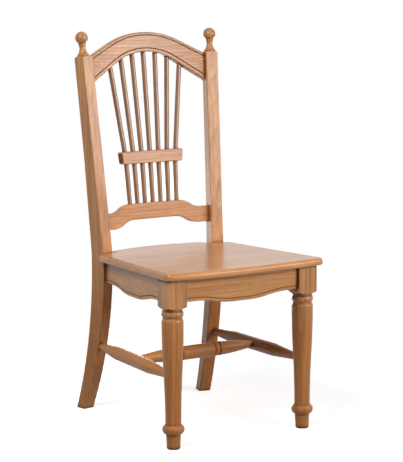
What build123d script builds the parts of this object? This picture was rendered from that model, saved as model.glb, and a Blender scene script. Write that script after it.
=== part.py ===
from build123d import *
import os
from math import atan2, cos, hypot, radians, sin, sqrt, tan

# A wooden dining chair: raked posts with ball finials, an arched crest rail, a sheaf of spindles
# gathered by a tie bar, a solid seat on a beaded apron frame, turned front legs and an H stretcher.
# Millimetres and degrees, +Z up, the front of the chair towards -Y. The origin is on the floor under
# the middle of the chair's box. Left is -X.

# Seat
SEAT_HEIGHT = 457.0
SEAT_TILT = 1.5
SEAT_THICKNESS = 19.0
SEAT_FRONT_OVERHANG = 45.5
SEAT_FRONT_BOW = 20.0
SEAT_SIDE_OVERHANG = 14.0
SEAT_POST_OVERHANG = 17.5
SEAT_FRONT_CORNER = 20.0
SEAT_REAR_CORNER = 13.0
SEAT_TONGUE = 42.0
SEAT_REAR_BOW = 27.0
SEAT_TOP_ROUND = 9.0
SEAT_UNDER_ROUND = 6.0
NOTCH_GAP = 16.0

# Front legs, turned below a square block
LEG_SPREAD = 391.5
LEG_BLOCK = 55.0
LEG_BLOCK_LENGTH = 77.0
LEG_SHOULDER = 7.5
LEG_NECK_RADIUS = 25.1
LEG_NECK_LENGTH = 4.0
LEG_BEAD_RADIUS = 28.3
LEG_BEAD_LENGTH = 16.0
LEG_COLUMN_RADIUS = 27.8
LEG_COLUMN_SHOULDER = 8.0
LEG_ANKLE_RADIUS = 20.4
LEG_RING_RADIUS = 28.5
LEG_RING_LENGTH = 26.0
LEG_PEG_RADIUS = 19.4
LEG_PEG_LENGTH = 38.0
LEG_TIP_RADIUS = 17.3
LEG_EASE = 2.0

# Rear posts, sawn to a curve, toed in and leaning outwards
LEG_TO_POST = 379.0
POST_SPREAD = 377.6
POST_WIDTH = 33.6
POST_SEAT_DEPTH = 50.0
POST_TOP_DEPTH = 37.0
POST_FOOT_DEPTH = 33.0
POST_RISE = 526.0
POST_RAKE = 63.7
POST_KICK = 99.0
POST_BOW = 3.5
POST_BOW_RADIUS = 3500.0
POST_BEND_RADIUS = 250.0
POST_EASE = 2.0
POST_FOOT_BEVEL = 1.2
POST_SHOULDER_SLOPE = 27.0
TOE_IN = 12.0
POST_LEAN = 0.85

# Finials
FINIAL_BALL_RADIUS = 17.2
FINIAL_BASE_RADIUS = 15.6
FINIAL_BASE_HEIGHT = 3.0
FINIAL_NECK_RADIUS = 8.3
FINIAL_NECK_HEIGHT = 21.0
FINIAL_COLLAR_RADIUS = 10.6
FINIAL_COLLAR_HEIGHT = 30.0
FINIAL_COLLAR_LENGTH = 2.2
FINIAL_DOWEL_RADIUS = 6.0
FINIAL_DOWEL_LENGTH = 16.0

# Crest rail
CREST_THICKNESS = 24.0
CREST_SETBACK = 14.0
CREST_BEND_ANGLE = 12.0
CREST_HEIGHT = 54.0
CREST_TOP_RADIUS = 230.0
CREST_TOP_SLOPE = 27.5
CREST_UNDER_RADIUS = 165.0
CREST_UNDER_SLOPE = 33.0
CREST_SHOULDER = 8.0
CREST_TOP_BEAD = 6.5
CREST_UNDER_BEAD = 9.0
CREST_GROOVE_WIDTH = 3.0
CREST_GROOVE_DEPTH = 2.2
CREST_EASE = 3.0

# Lower back rail
LOWER_RAIL_THICKNESS = 20.0
LOWER_RAIL_SETBACK = 20.5
LOWER_RAIL_BEND_ANGLE = 10.5
LOWER_RAIL_END_HEIGHT = 43.5
LOWER_RAIL_RISE = 53.5
LOWER_RAIL_CAMBER = 21.0
LOWER_RAIL_TOP_FLAT = 77.0
LOWER_RAIL_TOP_FOOT = 142.0
LOWER_RAIL_UNDER_FLAT = 65.0
LOWER_RAIL_UNDER_FOOT = 131.0
LOWER_RAIL_EASE = 3.0

# Tie bar and the two sets of spindles
TIE_RISE = 226.5
TIE_HEIGHT = 34.0
TIE_THICKNESS = 27.0
TIE_SETBACK = 18.7
TIE_TOP_WIDTH = 192.0
TIE_UNDER_WIDTH = 184.0
TIE_CORNER_RADIUS = 6.0
TIE_EASE = 2.5
SPINDLE_COUNT = 7
SPINDLE_RADIUS = 6.8
SPINDLE_CREST_PITCH = 35.9
SPINDLE_TIE_TOP_PITCH = 26.6
SPINDLE_TIE_UNDER_PITCH = 25.6
SPINDLE_LOWER_PITCH = 24.4
SPINDLE_TENON = 12.0

# Aprons under the seat
APRON_THICKNESS = 20.0
APRON_DEPTH = 61.0
FRONT_APRON_DROP = 12.2
SIDE_APRON_DROP = 14.0
APRON_LEG_INSET = 9.5
APRON_POST_INSET = 8.0
APRON_FLAT = 22.0
APRON_FOOT = 138.0
APRON_BEAD = 8.0
APRON_GROOVE = 2.2
APRON_GROOVE_DEPTH = 1.6
APRON_EASE = 3.5

# Stretchers
STRETCHER_HEIGHT = 186.0
STRETCHER_RADIUS = 17.5
STRETCHER_TENON_RADIUS = 9.0
STRETCHER_TENON_LENGTH = 18.0
STRETCHER_LEG_REVEAL = 2.0
STRETCHER_POST_REVEAL = 5.0
STRETCHER_GLUE_ROOM = 2.0
SIDE_STRETCHER_BARREL = 184.0
CENTER_STRETCHER_SETBACK = 212.0
CENTER_STRETCHER_RISE = 2.5
CENTER_STRETCHER_RADIUS = 18.8
CENTER_STRETCHER_BARREL = 97.0
CENTER_CONE_SWELL = 1.6
CENTER_BEAD_LENGTH = 15.0
CENTER_GROOVE_WIDTH = 2.0
CENTER_GROOVE_DEPTH = 2.2

# Joinery
TENON_THICKNESS = 10.0
TENON_LENGTH = 17.0
TENON_SHOULDER = 10.0
GLUE_LINE = 0.1
SEAT_CLEARANCE = 0.4
SAME_PLACE = 0.1

# Corner blocks and screws
CORNER_BLOCK_THICKNESS = 22.0
CORNER_BLOCK_HEIGHT = 32.0
CORNER_BLOCK_CLEARANCE = 3.0
SCREW_RADIUS = 2.0
SCREW_HEAD_RADIUS = 4.0
SCREW_HEAD_HEIGHT = 2.5
SCREW_GRIP = 10.0
SCREW_BITE = 12.0

# Places worked out from the sizes above, first along Y from the front legs' axes
TILT = radians(SEAT_TILT)
TOE = radians(TOE_IN)
LEAN = radians(POST_LEAN)
FRONT_REACH = SEAT_FRONT_OVERHANG + SEAT_FRONT_BOW
SEAT_AT_POST = SEAT_HEIGHT - (LEG_TO_POST + FRONT_REACH) * tan(TILT)
FOOT_SPLAY = SEAT_AT_POST * tan(LEAN)
BACK_REACH = (
    LEG_TO_POST
    + (POST_KICK + POST_FOOT_DEPTH) * cos(TOE)
    + (POST_WIDTH + FOOT_SPLAY) * sin(TOE)
)
LEG_Y = (FRONT_REACH - BACK_REACH) / 2
POST_Y = LEG_Y + LEG_TO_POST
SEAT_FRONT_Y = LEG_Y - FRONT_REACH
LEG_X = LEG_SPREAD / 2
LEG_FACE = LEG_BLOCK / 2

UP = Vector(0, 0, 1)
SEAT_TOP = Plane((0, SEAT_FRONT_Y, SEAT_HEIGHT), x_dir=(1, 0, 0), z_dir=(0, sin(TILT), cos(TILT)))
SEAT_UNDERSIDE = SEAT_TOP.offset(-SEAT_THICKNESS)


def underside_height(y):
    """Height of the seat's underside at a place along Y."""
    return SEAT_HEIGHT - SEAT_THICKNESS / cos(TILT) - (y - SEAT_FRONT_Y) * tan(TILT)


# The left post's own plane: x backwards, y up the post from the seat, z across it from outside to inside
POST_BACKWARD = Vector(-sin(TOE), cos(TOE), 0)
POST_ACROSS = Vector(cos(TOE), sin(TOE), 0) * cos(LEAN) + UP * sin(LEAN)
POST_PLANE = Plane(
    (-POST_SPREAD / 2, POST_Y, SEAT_AT_POST), x_dir=POST_BACKWARD, z_dir=POST_ACROSS
)
POST_INNER_FACE = POST_PLANE.offset(POST_WIDTH)
POST_AXIS_TURN = atan2(POST_RAKE + POST_TOP_DEPTH / 2 - POST_SEAT_DEPTH / 2, POST_RISE)
POST_TOP_FRONT = (POST_RAKE, POST_RISE)
POST_TOP_BACK = (
    POST_RAKE + POST_TOP_DEPTH * cos(POST_AXIS_TURN),
    POST_RISE - POST_TOP_DEPTH * sin(POST_AXIS_TURN),
)
POST_BACK_MIDDLE = ((POST_SEAT_DEPTH + POST_TOP_BACK[0]) / 2 - POST_BOW, POST_TOP_BACK[1] / 2)
FLOOR_DROP = SEAT_AT_POST / cos(LEAN) + POST_WIDTH * tan(LEAN)
SAWN_DROP = FLOOR_DROP + POST_WIDTH
BACK_KICK = POST_KICK + POST_FOOT_DEPTH - POST_SEAT_DEPTH


def arc_depth(run, rise, at):
    """How far an arc has left its tangent line at a length along it, when it leaves it by run after rise."""
    radius = (run**2 + rise**2) / (2 * run)
    return radius - sqrt(radius**2 - at**2)


def post_back(s):
    """Depth of the straight line from end to end of the post's back edge, at a height above the seat."""
    return POST_SEAT_DEPTH + (POST_TOP_BACK[0] - POST_SEAT_DEPTH) * s / POST_TOP_BACK[1]


# The back's plane, through the ends of both posts' inner back edges: x to the right, y up, z forwards
BACK_FOOT = POST_PLANE.from_local_coords((POST_SEAT_DEPTH, 0, POST_WIDTH))
BACK_HEAD = POST_PLANE.from_local_coords((POST_TOP_BACK[0], POST_TOP_BACK[1], POST_WIDTH))
BACK_RUN = BACK_HEAD - BACK_FOOT
BACK_LENGTH = hypot(BACK_RUN.Y, BACK_RUN.Z)
BACK_PLANE = Plane((0, BACK_FOOT.Y, BACK_FOOT.Z), x_dir=(1, 0, 0), z_dir=(0, -BACK_RUN.Z, BACK_RUN.Y))
BACK_UP = BACK_PLANE.y_dir


def half_span(y):
    """Half the clear width between the posts at a height up the back."""
    return -BACK_FOOT.X - BACK_RUN.X * y / BACK_LENGTH


def rail_curve(y, setback, bend):
    """Radius of a rail's middle line in plan, and how far its centre lies in front of the back's plane."""
    angle = radians(bend)
    radius = half_span(y) / sin(angle)
    return radius, setback * cos(TOE) + radius * cos(angle)


def rail_depth(curve, x):
    """Place of a rail's middle line along the back's z, forwards, at a place across the chair."""
    radius, center = curve
    return center - sqrt(radius**2 - x**2)


def plan_plane(y):
    """Plane square to the back's rake at a height up it: x to the right, y backwards."""
    origin = BACK_PLANE.from_local_coords((0, y, 0))
    return Plane(origin, x_dir=(1, 0, 0), z_dir=BACK_UP)


def band(curve, inside, outside, low, high):
    """Curved plank between two radii either side of a rail's middle line, in the builder that calls it."""
    radius, center = curve
    reach = half_span(high) + POST_WIDTH / 2
    with BuildSketch(plan_plane(low)) as section:
        with Locations((0, -center)):
            Circle(radius + outside)
            Circle(radius + inside, mode=Mode.SUBTRACT)
        Rectangle(2 * reach, center, mode=Mode.INTERSECT)
    extrude(section.sketch, amount=high - low)


def arch_height(apex, radius, slope, x):
    """Height of an arch at a place across it: an arc at the crown, then straight at the slope."""
    angle = radians(slope)
    turn = radius * sin(angle)
    if abs(x) <= turn:
        return apex - radius + sqrt(radius**2 - x**2)
    return apex - radius * (1 - cos(angle)) - (abs(x) - turn) * tan(angle)


def arch_line(apex, radius, slope, reach):
    """Draws an arch from -reach to reach in the line builder that calls it."""
    turn = radius * sin(radians(slope))
    spring = arch_height(apex, radius, slope, turn)
    foot = arch_height(apex, radius, slope, reach)
    Line((-reach, foot), (-turn, spring))
    ThreePointArc((-turn, spring), (0, apex), (turn, spring))
    Line((turn, spring), (reach, foot))
    return (-reach, foot), (reach, foot)


def ogee(start, end):
    """Draws an S curve, level at both ends, in the line builder that calls it."""
    middle = ((start[0] + end[0]) / 2, (start[1] + end[1]) / 2)
    along = 1 if end[0] > start[0] else -1
    TangentArc(start, middle, tangent=(along, 0))
    TangentArc(end, middle, tangent=(-along, 0))


def wave_line(flat, foot, reach, middle_height, end_height):
    """Draws a line, level in the middle and at both ends with an S curve between, in the calling builder."""
    Line((-flat, middle_height), (flat, middle_height))
    for side in (-1, 1):
        ogee((side * flat, middle_height), (side * foot, end_height))
        Line((side * foot, end_height), (side * reach, end_height))
    return (-reach, end_height), (reach, end_height)


def turning_plane(base, axis, across):
    """Plane for half of a turned profile: x is the radius, y runs along the axis from the base."""
    return Plane(base, x_dir=across, z_dir=across.cross(axis))


def tenon(plane, width, height, length, slack=0.0, mode=Mode.ADD):
    """Block on a plane, along its normal: a tenon, or its mortise with slack, in the calling builder."""
    with BuildSketch(plane) as section:
        Rectangle(width + 2 * slack, height + 2 * slack)
    extrude(section.sketch, amount=length + slack, mode=mode)


def peg(plane, radius, length, slack=0.0, mode=Mode.ADD):
    """Round tenon on a plane, or its hole with slack, in the calling builder."""
    with BuildSketch(plane) as section:
        Circle(radius + slack)
    extrude(section.sketch, amount=length + slack, mode=mode)


def mirrored(source):
    """The same piece for the right side."""
    with BuildPart() as twin:
        mirror(source.part, about=Plane.YZ)
    return twin


def both_sides(plane):
    """A plane on the left side and the same plane on the right."""
    origin, across, normal = (Vector(-v.X, v.Y, v.Z) for v in (plane.origin, plane.x_dir, plane.z_dir))
    return plane, Plane(origin, x_dir=across, z_dir=normal)


def trim_to_posts():
    """Cuts a rail off at the inner faces of both posts, in the calling builder."""
    for face in both_sides(POST_INNER_FACE):
        split(bisect_by=face, keep=Keep.TOP)


def ease_long_edges(radius):
    """Rounds the edges that run along a rail, not those at its ends, in the calling builder."""
    reach = max(abs(vertex.X) for vertex in vertices())
    fillet(edges().filter_by(lambda edge: abs(edge.center().X) < reach - radius), radius=radius)


pieces = {}

# Heights up the back
LOWER_CURVE = rail_curve(LOWER_RAIL_RISE, LOWER_RAIL_SETBACK, LOWER_RAIL_BEND_ANGLE)
LOWER_END_TOP = LOWER_RAIL_RISE + LOWER_RAIL_END_HEIGHT
LOWER_MIDDLE_TOP = LOWER_END_TOP + LOWER_RAIL_CAMBER
LOWER_MIDDLE_UNDER = LOWER_RAIL_RISE + LOWER_RAIL_CAMBER
TIE_TOP = TIE_RISE + TIE_HEIGHT
TIE_CURVE = rail_curve(TIE_RISE, TIE_SETBACK, LOWER_RAIL_BEND_ANGLE)
CREST_SPAN = half_span(BACK_LENGTH)
CREST_END_TOP = BACK_LENGTH - CREST_SHOULDER
CREST_APEX = CREST_END_TOP - arch_height(0, CREST_TOP_RADIUS, CREST_TOP_SLOPE, CREST_SPAN)
CREST_UNDER_APEX = CREST_APEX - CREST_HEIGHT
CREST_END_UNDER = arch_height(CREST_UNDER_APEX, CREST_UNDER_RADIUS, CREST_UNDER_SLOPE, CREST_SPAN)
CREST_CURVE = rail_curve((CREST_END_UNDER + CREST_END_TOP) / 2, CREST_SETBACK, CREST_BEND_ANGLE)
RAIL_REACH = CREST_SPAN + POST_WIDTH / 2


def post_socket(s, setback):
    """Plane of a back rail's tenon in the left post's inner face, its normal into the post."""
    origin = POST_INNER_FACE.from_local_coords((post_back(s) - setback, s, 0))
    along = POST_PLANE.from_local_coords((post_back(s), s, 0)) - POST_PLANE.from_local_coords(
        (POST_SEAT_DEPTH, 0, 0)
    )
    return Plane(origin, x_dir=along, z_dir=-POST_ACROSS)


CREST_TENON_FOOT = CREST_END_UNDER + TENON_SHOULDER
CREST_TENON_HEAD = CREST_END_TOP - FINIAL_DOWEL_LENGTH - TENON_SHOULDER / 2
CREST_SOCKET = post_socket((CREST_TENON_FOOT + CREST_TENON_HEAD) / 2, CREST_SETBACK)
CREST_TENON_HEIGHT = CREST_TENON_HEAD - CREST_TENON_FOOT
LOWER_SOCKET = post_socket((LOWER_RAIL_RISE + LOWER_END_TOP) / 2, LOWER_RAIL_SETBACK)
LOWER_TENON_HEIGHT = LOWER_RAIL_END_HEIGHT - TENON_SHOULDER

# Rear apron, straight across between the posts, centred in their depth
REAR_APRON_SOCKET_V = POST_SEAT_DEPTH / 2
REAR_APRON_S = -SEAT_THICKNESS - APRON_DEPTH / 2
REAR_APRON_ROOT = POST_INNER_FACE.from_local_coords((REAR_APRON_SOCKET_V, REAR_APRON_S, 0))
REAR_APRON_FRONT_Y = REAR_APRON_ROOT.Y - APRON_THICKNESS / 2
REAR_APRON_TOP = Vector(0, REAR_APRON_FRONT_Y, underside_height(REAR_APRON_FRONT_Y))
REAR_APRON_PLANE = Plane(REAR_APRON_TOP, x_dir=(1, 0, 0), z_dir=(0, -1, 0))
APRON_TENON_HEIGHT = APRON_DEPTH - 2 * TENON_SHOULDER
REAR_APRON_SOCKET = Plane(REAR_APRON_ROOT + Vector(TENON_SHOULDER, 0, 0), x_dir=(0, 0, 1), z_dir=(-1, 0, 0))
APRON_TENON_REACH = TENON_SHOULDER + TENON_LENGTH

# Left side apron, on a line from the front leg's block to the post
SIDE_APRON_FRONT = Vector(-LEG_X - LEG_FACE + APRON_LEG_INSET, LEG_Y + LEG_FACE, 0)
SIDE_APRON_REAR = Vector(-POST_SPREAD / 2 + APRON_POST_INSET, POST_Y, 0)
SIDE_APRON_RUN = SIDE_APRON_FRONT - SIDE_APRON_REAR
SIDE_APRON_ALONG = SIDE_APRON_RUN.normalized()
SIDE_APRON_OUTWARD = SIDE_APRON_ALONG.cross(UP)
SIDE_APRON_MIDDLE = (SIDE_APRON_FRONT + SIDE_APRON_REAR) / 2
SIDE_APRON_SLOPE = (SIDE_APRON_ALONG - UP * (SIDE_APRON_ALONG.Y * tan(TILT))).normalized()
SIDE_APRON_PLANE = Plane(
    SIDE_APRON_MIDDLE + UP * underside_height(SIDE_APRON_MIDDLE.Y),
    x_dir=SIDE_APRON_SLOPE,
    z_dir=SIDE_APRON_OUTWARD,
)
SIDE_APRON_HALF = SIDE_APRON_RUN.length / 2


def side_apron_socket(along, sense):
    """Plane of a side apron's tenon at a length along it from its middle, pointing forwards or backwards."""
    origin = SIDE_APRON_PLANE.from_local_coords((along, -APRON_DEPTH / 2, -APRON_THICKNESS / 2))
    return Plane(origin, x_dir=SIDE_APRON_PLANE.y_dir, z_dir=SIDE_APRON_SLOPE * sense)


SIDE_APRON_FRONT_SOCKET = side_apron_socket(SIDE_APRON_HALF - TENON_SHOULDER, 1)
SIDE_APRON_REAR_SOCKET = side_apron_socket(-SIDE_APRON_HALF + TENON_SHOULDER, -1)

# Front apron, set back from the blocks' front faces
FRONT_APRON_Y = LEG_Y - LEG_FACE + APRON_LEG_INSET
FRONT_APRON_TOP = Vector(0, FRONT_APRON_Y, underside_height(FRONT_APRON_Y))
FRONT_APRON_PLANE = Plane(FRONT_APRON_TOP, x_dir=(1, 0, 0), z_dir=(0, -1, 0))
FRONT_APRON_HALF = LEG_X - LEG_FACE
FRONT_APRON_SOCKET = Plane(
    FRONT_APRON_PLANE.from_local_coords(
        (TENON_SHOULDER - FRONT_APRON_HALF, -APRON_DEPTH / 2, -APRON_THICKNESS / 2)
    ),
    x_dir=(0, 0, 1),
    z_dir=(-1, 0, 0),
)

# Heights on the turned leg
LEG_TOP = underside_height(LEG_Y - LEG_FACE)
LEG_BLOCK_FOOT = underside_height(LEG_Y) - LEG_BLOCK_LENGTH
LEG_BEAD_TOP = LEG_BLOCK_FOOT - LEG_NECK_LENGTH
LEG_BEAD_FOOT = LEG_BEAD_TOP - LEG_BEAD_LENGTH
LEG_COLUMN_TOP = LEG_BEAD_FOOT - LEG_NECK_LENGTH
LEG_COLUMN_CROWN = LEG_COLUMN_TOP - LEG_COLUMN_SHOULDER
LEG_RING_TOP = LEG_PEG_LENGTH + LEG_RING_LENGTH
LEG_ANKLE = LEG_RING_TOP + LEG_NECK_LENGTH
LEG_WAIST = ((LEG_ANKLE_RADIUS + LEG_COLUMN_RADIUS) / 2, (LEG_ANKLE + LEG_COLUMN_CROWN) / 2)


def leg_radius(z):
    """Radius of the tapered column at a height."""
    half_swell = (LEG_COLUMN_RADIUS - LEG_ANKLE_RADIUS) / 2
    half_length = (LEG_COLUMN_CROWN - LEG_ANKLE) / 2
    if z < LEG_WAIST[1]:
        return LEG_ANKLE_RADIUS + arc_depth(half_swell, half_length, z - LEG_ANKLE)
    return LEG_COLUMN_RADIUS - arc_depth(half_swell, half_length, LEG_COLUMN_CROWN - z)


# Left side stretcher, level from the front leg's axis to the middle of the post
STRETCHER_S = (STRETCHER_HEIGHT - SEAT_AT_POST) / cos(LEAN)
POST_FRONT_AT_STRETCHER = arc_depth(POST_KICK, FLOOR_DROP, -STRETCHER_S)
POST_BACK_AT_STRETCHER = POST_SEAT_DEPTH + arc_depth(BACK_KICK, FLOOR_DROP, -STRETCHER_S)
STRETCHER_FRONT = Vector(-LEG_X, LEG_Y, STRETCHER_HEIGHT)
STRETCHER_REAR = POST_PLANE.from_local_coords(
    ((POST_FRONT_AT_STRETCHER + POST_BACK_AT_STRETCHER) / 2, STRETCHER_S, POST_WIDTH / 2)
)
STRETCHER_RUN = Vector(STRETCHER_REAR.X, STRETCHER_REAR.Y, STRETCHER_HEIGHT) - STRETCHER_FRONT
STRETCHER_ALONG = STRETCHER_RUN.normalized()
STRETCHER_LEG_FACE = leg_radius(STRETCHER_HEIGHT)
STRETCHER_POST_FACE = STRETCHER_RUN.length - (POST_BACK_AT_STRETCHER - POST_FRONT_AT_STRETCHER) / 2
STRETCHER_FRONT_SOCKET = Plane(
    STRETCHER_FRONT + STRETCHER_ALONG * (STRETCHER_LEG_FACE + TENON_SHOULDER), z_dir=-STRETCHER_ALONG
)
STRETCHER_REAR_SOCKET = Plane(
    STRETCHER_FRONT + STRETCHER_ALONG * (STRETCHER_POST_FACE - TENON_SHOULDER), z_dir=STRETCHER_ALONG
)
STRETCHER_PEG_REACH = TENON_SHOULDER + STRETCHER_TENON_LENGTH

# Centre stretcher, from one side stretcher to the other, a little above their axes
CENTER_JOINT = STRETCHER_FRONT + STRETCHER_ALONG * (CENTER_STRETCHER_SETBACK / STRETCHER_ALONG.Y)
CENTER_END = CENTER_JOINT + UP * CENTER_STRETCHER_RISE
CENTER_HALF = -CENTER_END.X
CENTER_FACE = CENTER_HALF - STRETCHER_RADIUS
CENTER_SOCKET = Plane(CENTER_END + Vector(STRETCHER_RADIUS + TENON_SHOULDER, 0, 0), z_dir=(-1, 0, 0))
CENTER_TIP = CENTER_FACE + STRETCHER_TENON_LENGTH - STRETCHER_GLUE_ROOM

# Finial's axis, along the top of the post
FINIAL_BASE = POST_PLANE.from_local_coords(
    (
        (POST_TOP_FRONT[0] + POST_TOP_BACK[0]) / 2,
        (POST_TOP_FRONT[1] + POST_TOP_BACK[1]) / 2,
        POST_WIDTH / 2,
    )
)
FINIAL_AXIS = POST_PLANE.y_dir * cos(POST_AXIS_TURN) + POST_BACKWARD * sin(POST_AXIS_TURN)
FINIAL_SOCKET = Plane(FINIAL_BASE, z_dir=-FINIAL_AXIS)
FINIAL_PROFILE = turning_plane(FINIAL_BASE, FINIAL_AXIS, POST_ACROSS)
FINIAL_BALL_CENTER = FINIAL_COLLAR_HEIGHT + FINIAL_COLLAR_LENGTH + sqrt(
    FINIAL_BALL_RADIUS**2 - FINIAL_NECK_RADIUS**2
)

# Left post before its mortises, drawn longer than it stands and cut off at the floor
SAWN_FRONT = (arc_depth(POST_KICK, FLOOR_DROP, SAWN_DROP), -SAWN_DROP)
SAWN_BACK = (POST_SEAT_DEPTH + arc_depth(BACK_KICK, FLOOR_DROP, SAWN_DROP), -SAWN_DROP)
with BuildPart() as post_blank:
    with BuildSketch(POST_PLANE):
        with BuildLine():
            TangentArc((0, 0), SAWN_FRONT, tangent=(0, -1))
            Line(SAWN_FRONT, SAWN_BACK)
            TangentArc((POST_SEAT_DEPTH, 0), SAWN_BACK, tangent=(0, -1))
            back_rise = Polyline((POST_SEAT_DEPTH, 0), POST_BACK_MIDDLE, POST_TOP_BACK)
            top = Line(back_rise @ 1, POST_TOP_FRONT)
            Line(top @ 1, (0, 0))
        make_face()
        fillet(vertices().group_by(Axis.Y)[1], radius=POST_BEND_RADIUS)
        fillet(vertices().sort_by_distance(POST_BACK_MIDDLE)[0], radius=POST_BOW_RADIUS)
    extrude(amount=POST_WIDTH)
    fillet(edges().filter_by(lambda edge: edge.length > POST_SEAT_DEPTH), radius=POST_EASE)
    split(bisect_by=Plane.XY, keep=Keep.TOP)
    chamfer(edges().group_by(Axis.Z)[0], length=POST_FOOT_BEVEL)
    with BuildSketch(FINIAL_PROFILE):
        with BuildLine():
            Polyline(
                (FINIAL_BASE_RADIUS, 0),
                (FINIAL_BASE_RADIUS + POST_TOP_DEPTH, 0),
                (FINIAL_BASE_RADIUS + POST_TOP_DEPTH, -POST_TOP_DEPTH * tan(radians(POST_SHOULDER_SLOPE))),
                close=True,
            )
        make_face()
    revolve(axis=Axis(FINIAL_BASE, FINIAL_AXIS), mode=Mode.SUBTRACT)

# Left front leg before its mortises
LEG_AXIS_FOOT = Vector(-LEG_X, LEG_Y, 0)
LEG_PROFILE = turning_plane(LEG_AXIS_FOOT, UP, Vector(1, 0, 0))
LEG_CORNER = LEG_FACE * sqrt(2)
with BuildPart() as leg_blank:
    with BuildSketch(Plane.XY.offset(LEG_BLOCK_FOOT)):
        with Locations((-LEG_X, LEG_Y)):
            Rectangle(LEG_BLOCK, LEG_BLOCK)
    extrude(amount=LEG_TOP - LEG_BLOCK_FOOT)
    fillet(edges().filter_by(Axis.Z), radius=LEG_EASE)
    with BuildSketch(LEG_PROFILE):
        with BuildLine():
            Polyline(
                (0, LEG_BLOCK_FOOT),
                (LEG_NECK_RADIUS, LEG_BLOCK_FOOT),
                (LEG_CORNER, LEG_BLOCK_FOOT + LEG_SHOULDER),
                (LEG_CORNER, LEG_TOP),
                (0, LEG_TOP),
                close=True,
            )
        make_face()
    revolve(axis=Axis(LEG_AXIS_FOOT, UP), mode=Mode.INTERSECT)
    with BuildSketch(LEG_PROFILE):
        with BuildLine():
            Polyline(
                (0, 0),
                (LEG_TIP_RADIUS - LEG_EASE, 0),
                (LEG_TIP_RADIUS, LEG_EASE),
                (LEG_PEG_RADIUS, LEG_PEG_LENGTH),
            )
            ThreePointArc(
                (LEG_PEG_RADIUS, LEG_PEG_LENGTH),
                (LEG_RING_RADIUS, LEG_PEG_LENGTH + LEG_RING_LENGTH / 2),
                (LEG_ANKLE_RADIUS, LEG_RING_TOP),
            )
            Line((LEG_ANKLE_RADIUS, LEG_RING_TOP), (LEG_ANKLE_RADIUS, LEG_ANKLE))
            TangentArc((LEG_ANKLE_RADIUS, LEG_ANKLE), LEG_WAIST, tangent=(0, 1))
            TangentArc((LEG_COLUMN_RADIUS, LEG_COLUMN_CROWN), LEG_WAIST, tangent=(0, -1))
            TangentArc(
                (LEG_COLUMN_RADIUS, LEG_COLUMN_CROWN), (LEG_NECK_RADIUS, LEG_COLUMN_TOP), tangent=(0, 1)
            )
            Line((LEG_NECK_RADIUS, LEG_COLUMN_TOP), (LEG_NECK_RADIUS, LEG_BEAD_FOOT))
            ThreePointArc(
                (LEG_NECK_RADIUS, LEG_BEAD_FOOT),
                (LEG_BEAD_RADIUS, LEG_BEAD_FOOT + LEG_BEAD_LENGTH / 2),
                (LEG_NECK_RADIUS, LEG_BEAD_TOP),
            )
            Polyline(
                (LEG_NECK_RADIUS, LEG_BEAD_TOP),
                (LEG_NECK_RADIUS, LEG_BLOCK_FOOT),
                (0, LEG_BLOCK_FOOT),
                (0, 0),
            )
        make_face()
    revolve(axis=Axis(LEG_AXIS_FOOT, UP))
    split(bisect_by=SEAT_UNDERSIDE, keep=Keep.BOTTOM)

# Left front leg
with BuildPart() as front_leg_left:
    add(leg_blank.part)
    for socket in (FRONT_APRON_SOCKET, SIDE_APRON_FRONT_SOCKET):
        tenon(socket, APRON_TENON_HEIGHT, TENON_THICKNESS, APRON_TENON_REACH, GLUE_LINE, Mode.SUBTRACT)
    peg(STRETCHER_FRONT_SOCKET, STRETCHER_TENON_RADIUS, STRETCHER_PEG_REACH, GLUE_LINE, Mode.SUBTRACT)
pieces["front_leg_left"] = front_leg_left
pieces["front_leg_right"] = mirrored(front_leg_left)

# Left rear post
with BuildPart() as rear_post_left:
    add(post_blank.part)
    tenon(CREST_SOCKET, CREST_TENON_HEIGHT, TENON_THICKNESS, TENON_LENGTH, GLUE_LINE, Mode.SUBTRACT)
    tenon(LOWER_SOCKET, LOWER_TENON_HEIGHT, TENON_THICKNESS, TENON_LENGTH, GLUE_LINE, Mode.SUBTRACT)
    for socket in (REAR_APRON_SOCKET, SIDE_APRON_REAR_SOCKET):
        tenon(socket, APRON_TENON_HEIGHT, TENON_THICKNESS, APRON_TENON_REACH, GLUE_LINE, Mode.SUBTRACT)
    peg(STRETCHER_REAR_SOCKET, STRETCHER_TENON_RADIUS, STRETCHER_PEG_REACH, GLUE_LINE, Mode.SUBTRACT)
    peg(FINIAL_SOCKET, FINIAL_DOWEL_RADIUS, FINIAL_DOWEL_LENGTH, GLUE_LINE, Mode.SUBTRACT)
pieces["rear_post_left"] = rear_post_left
pieces["rear_post_right"] = mirrored(rear_post_left)

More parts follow.
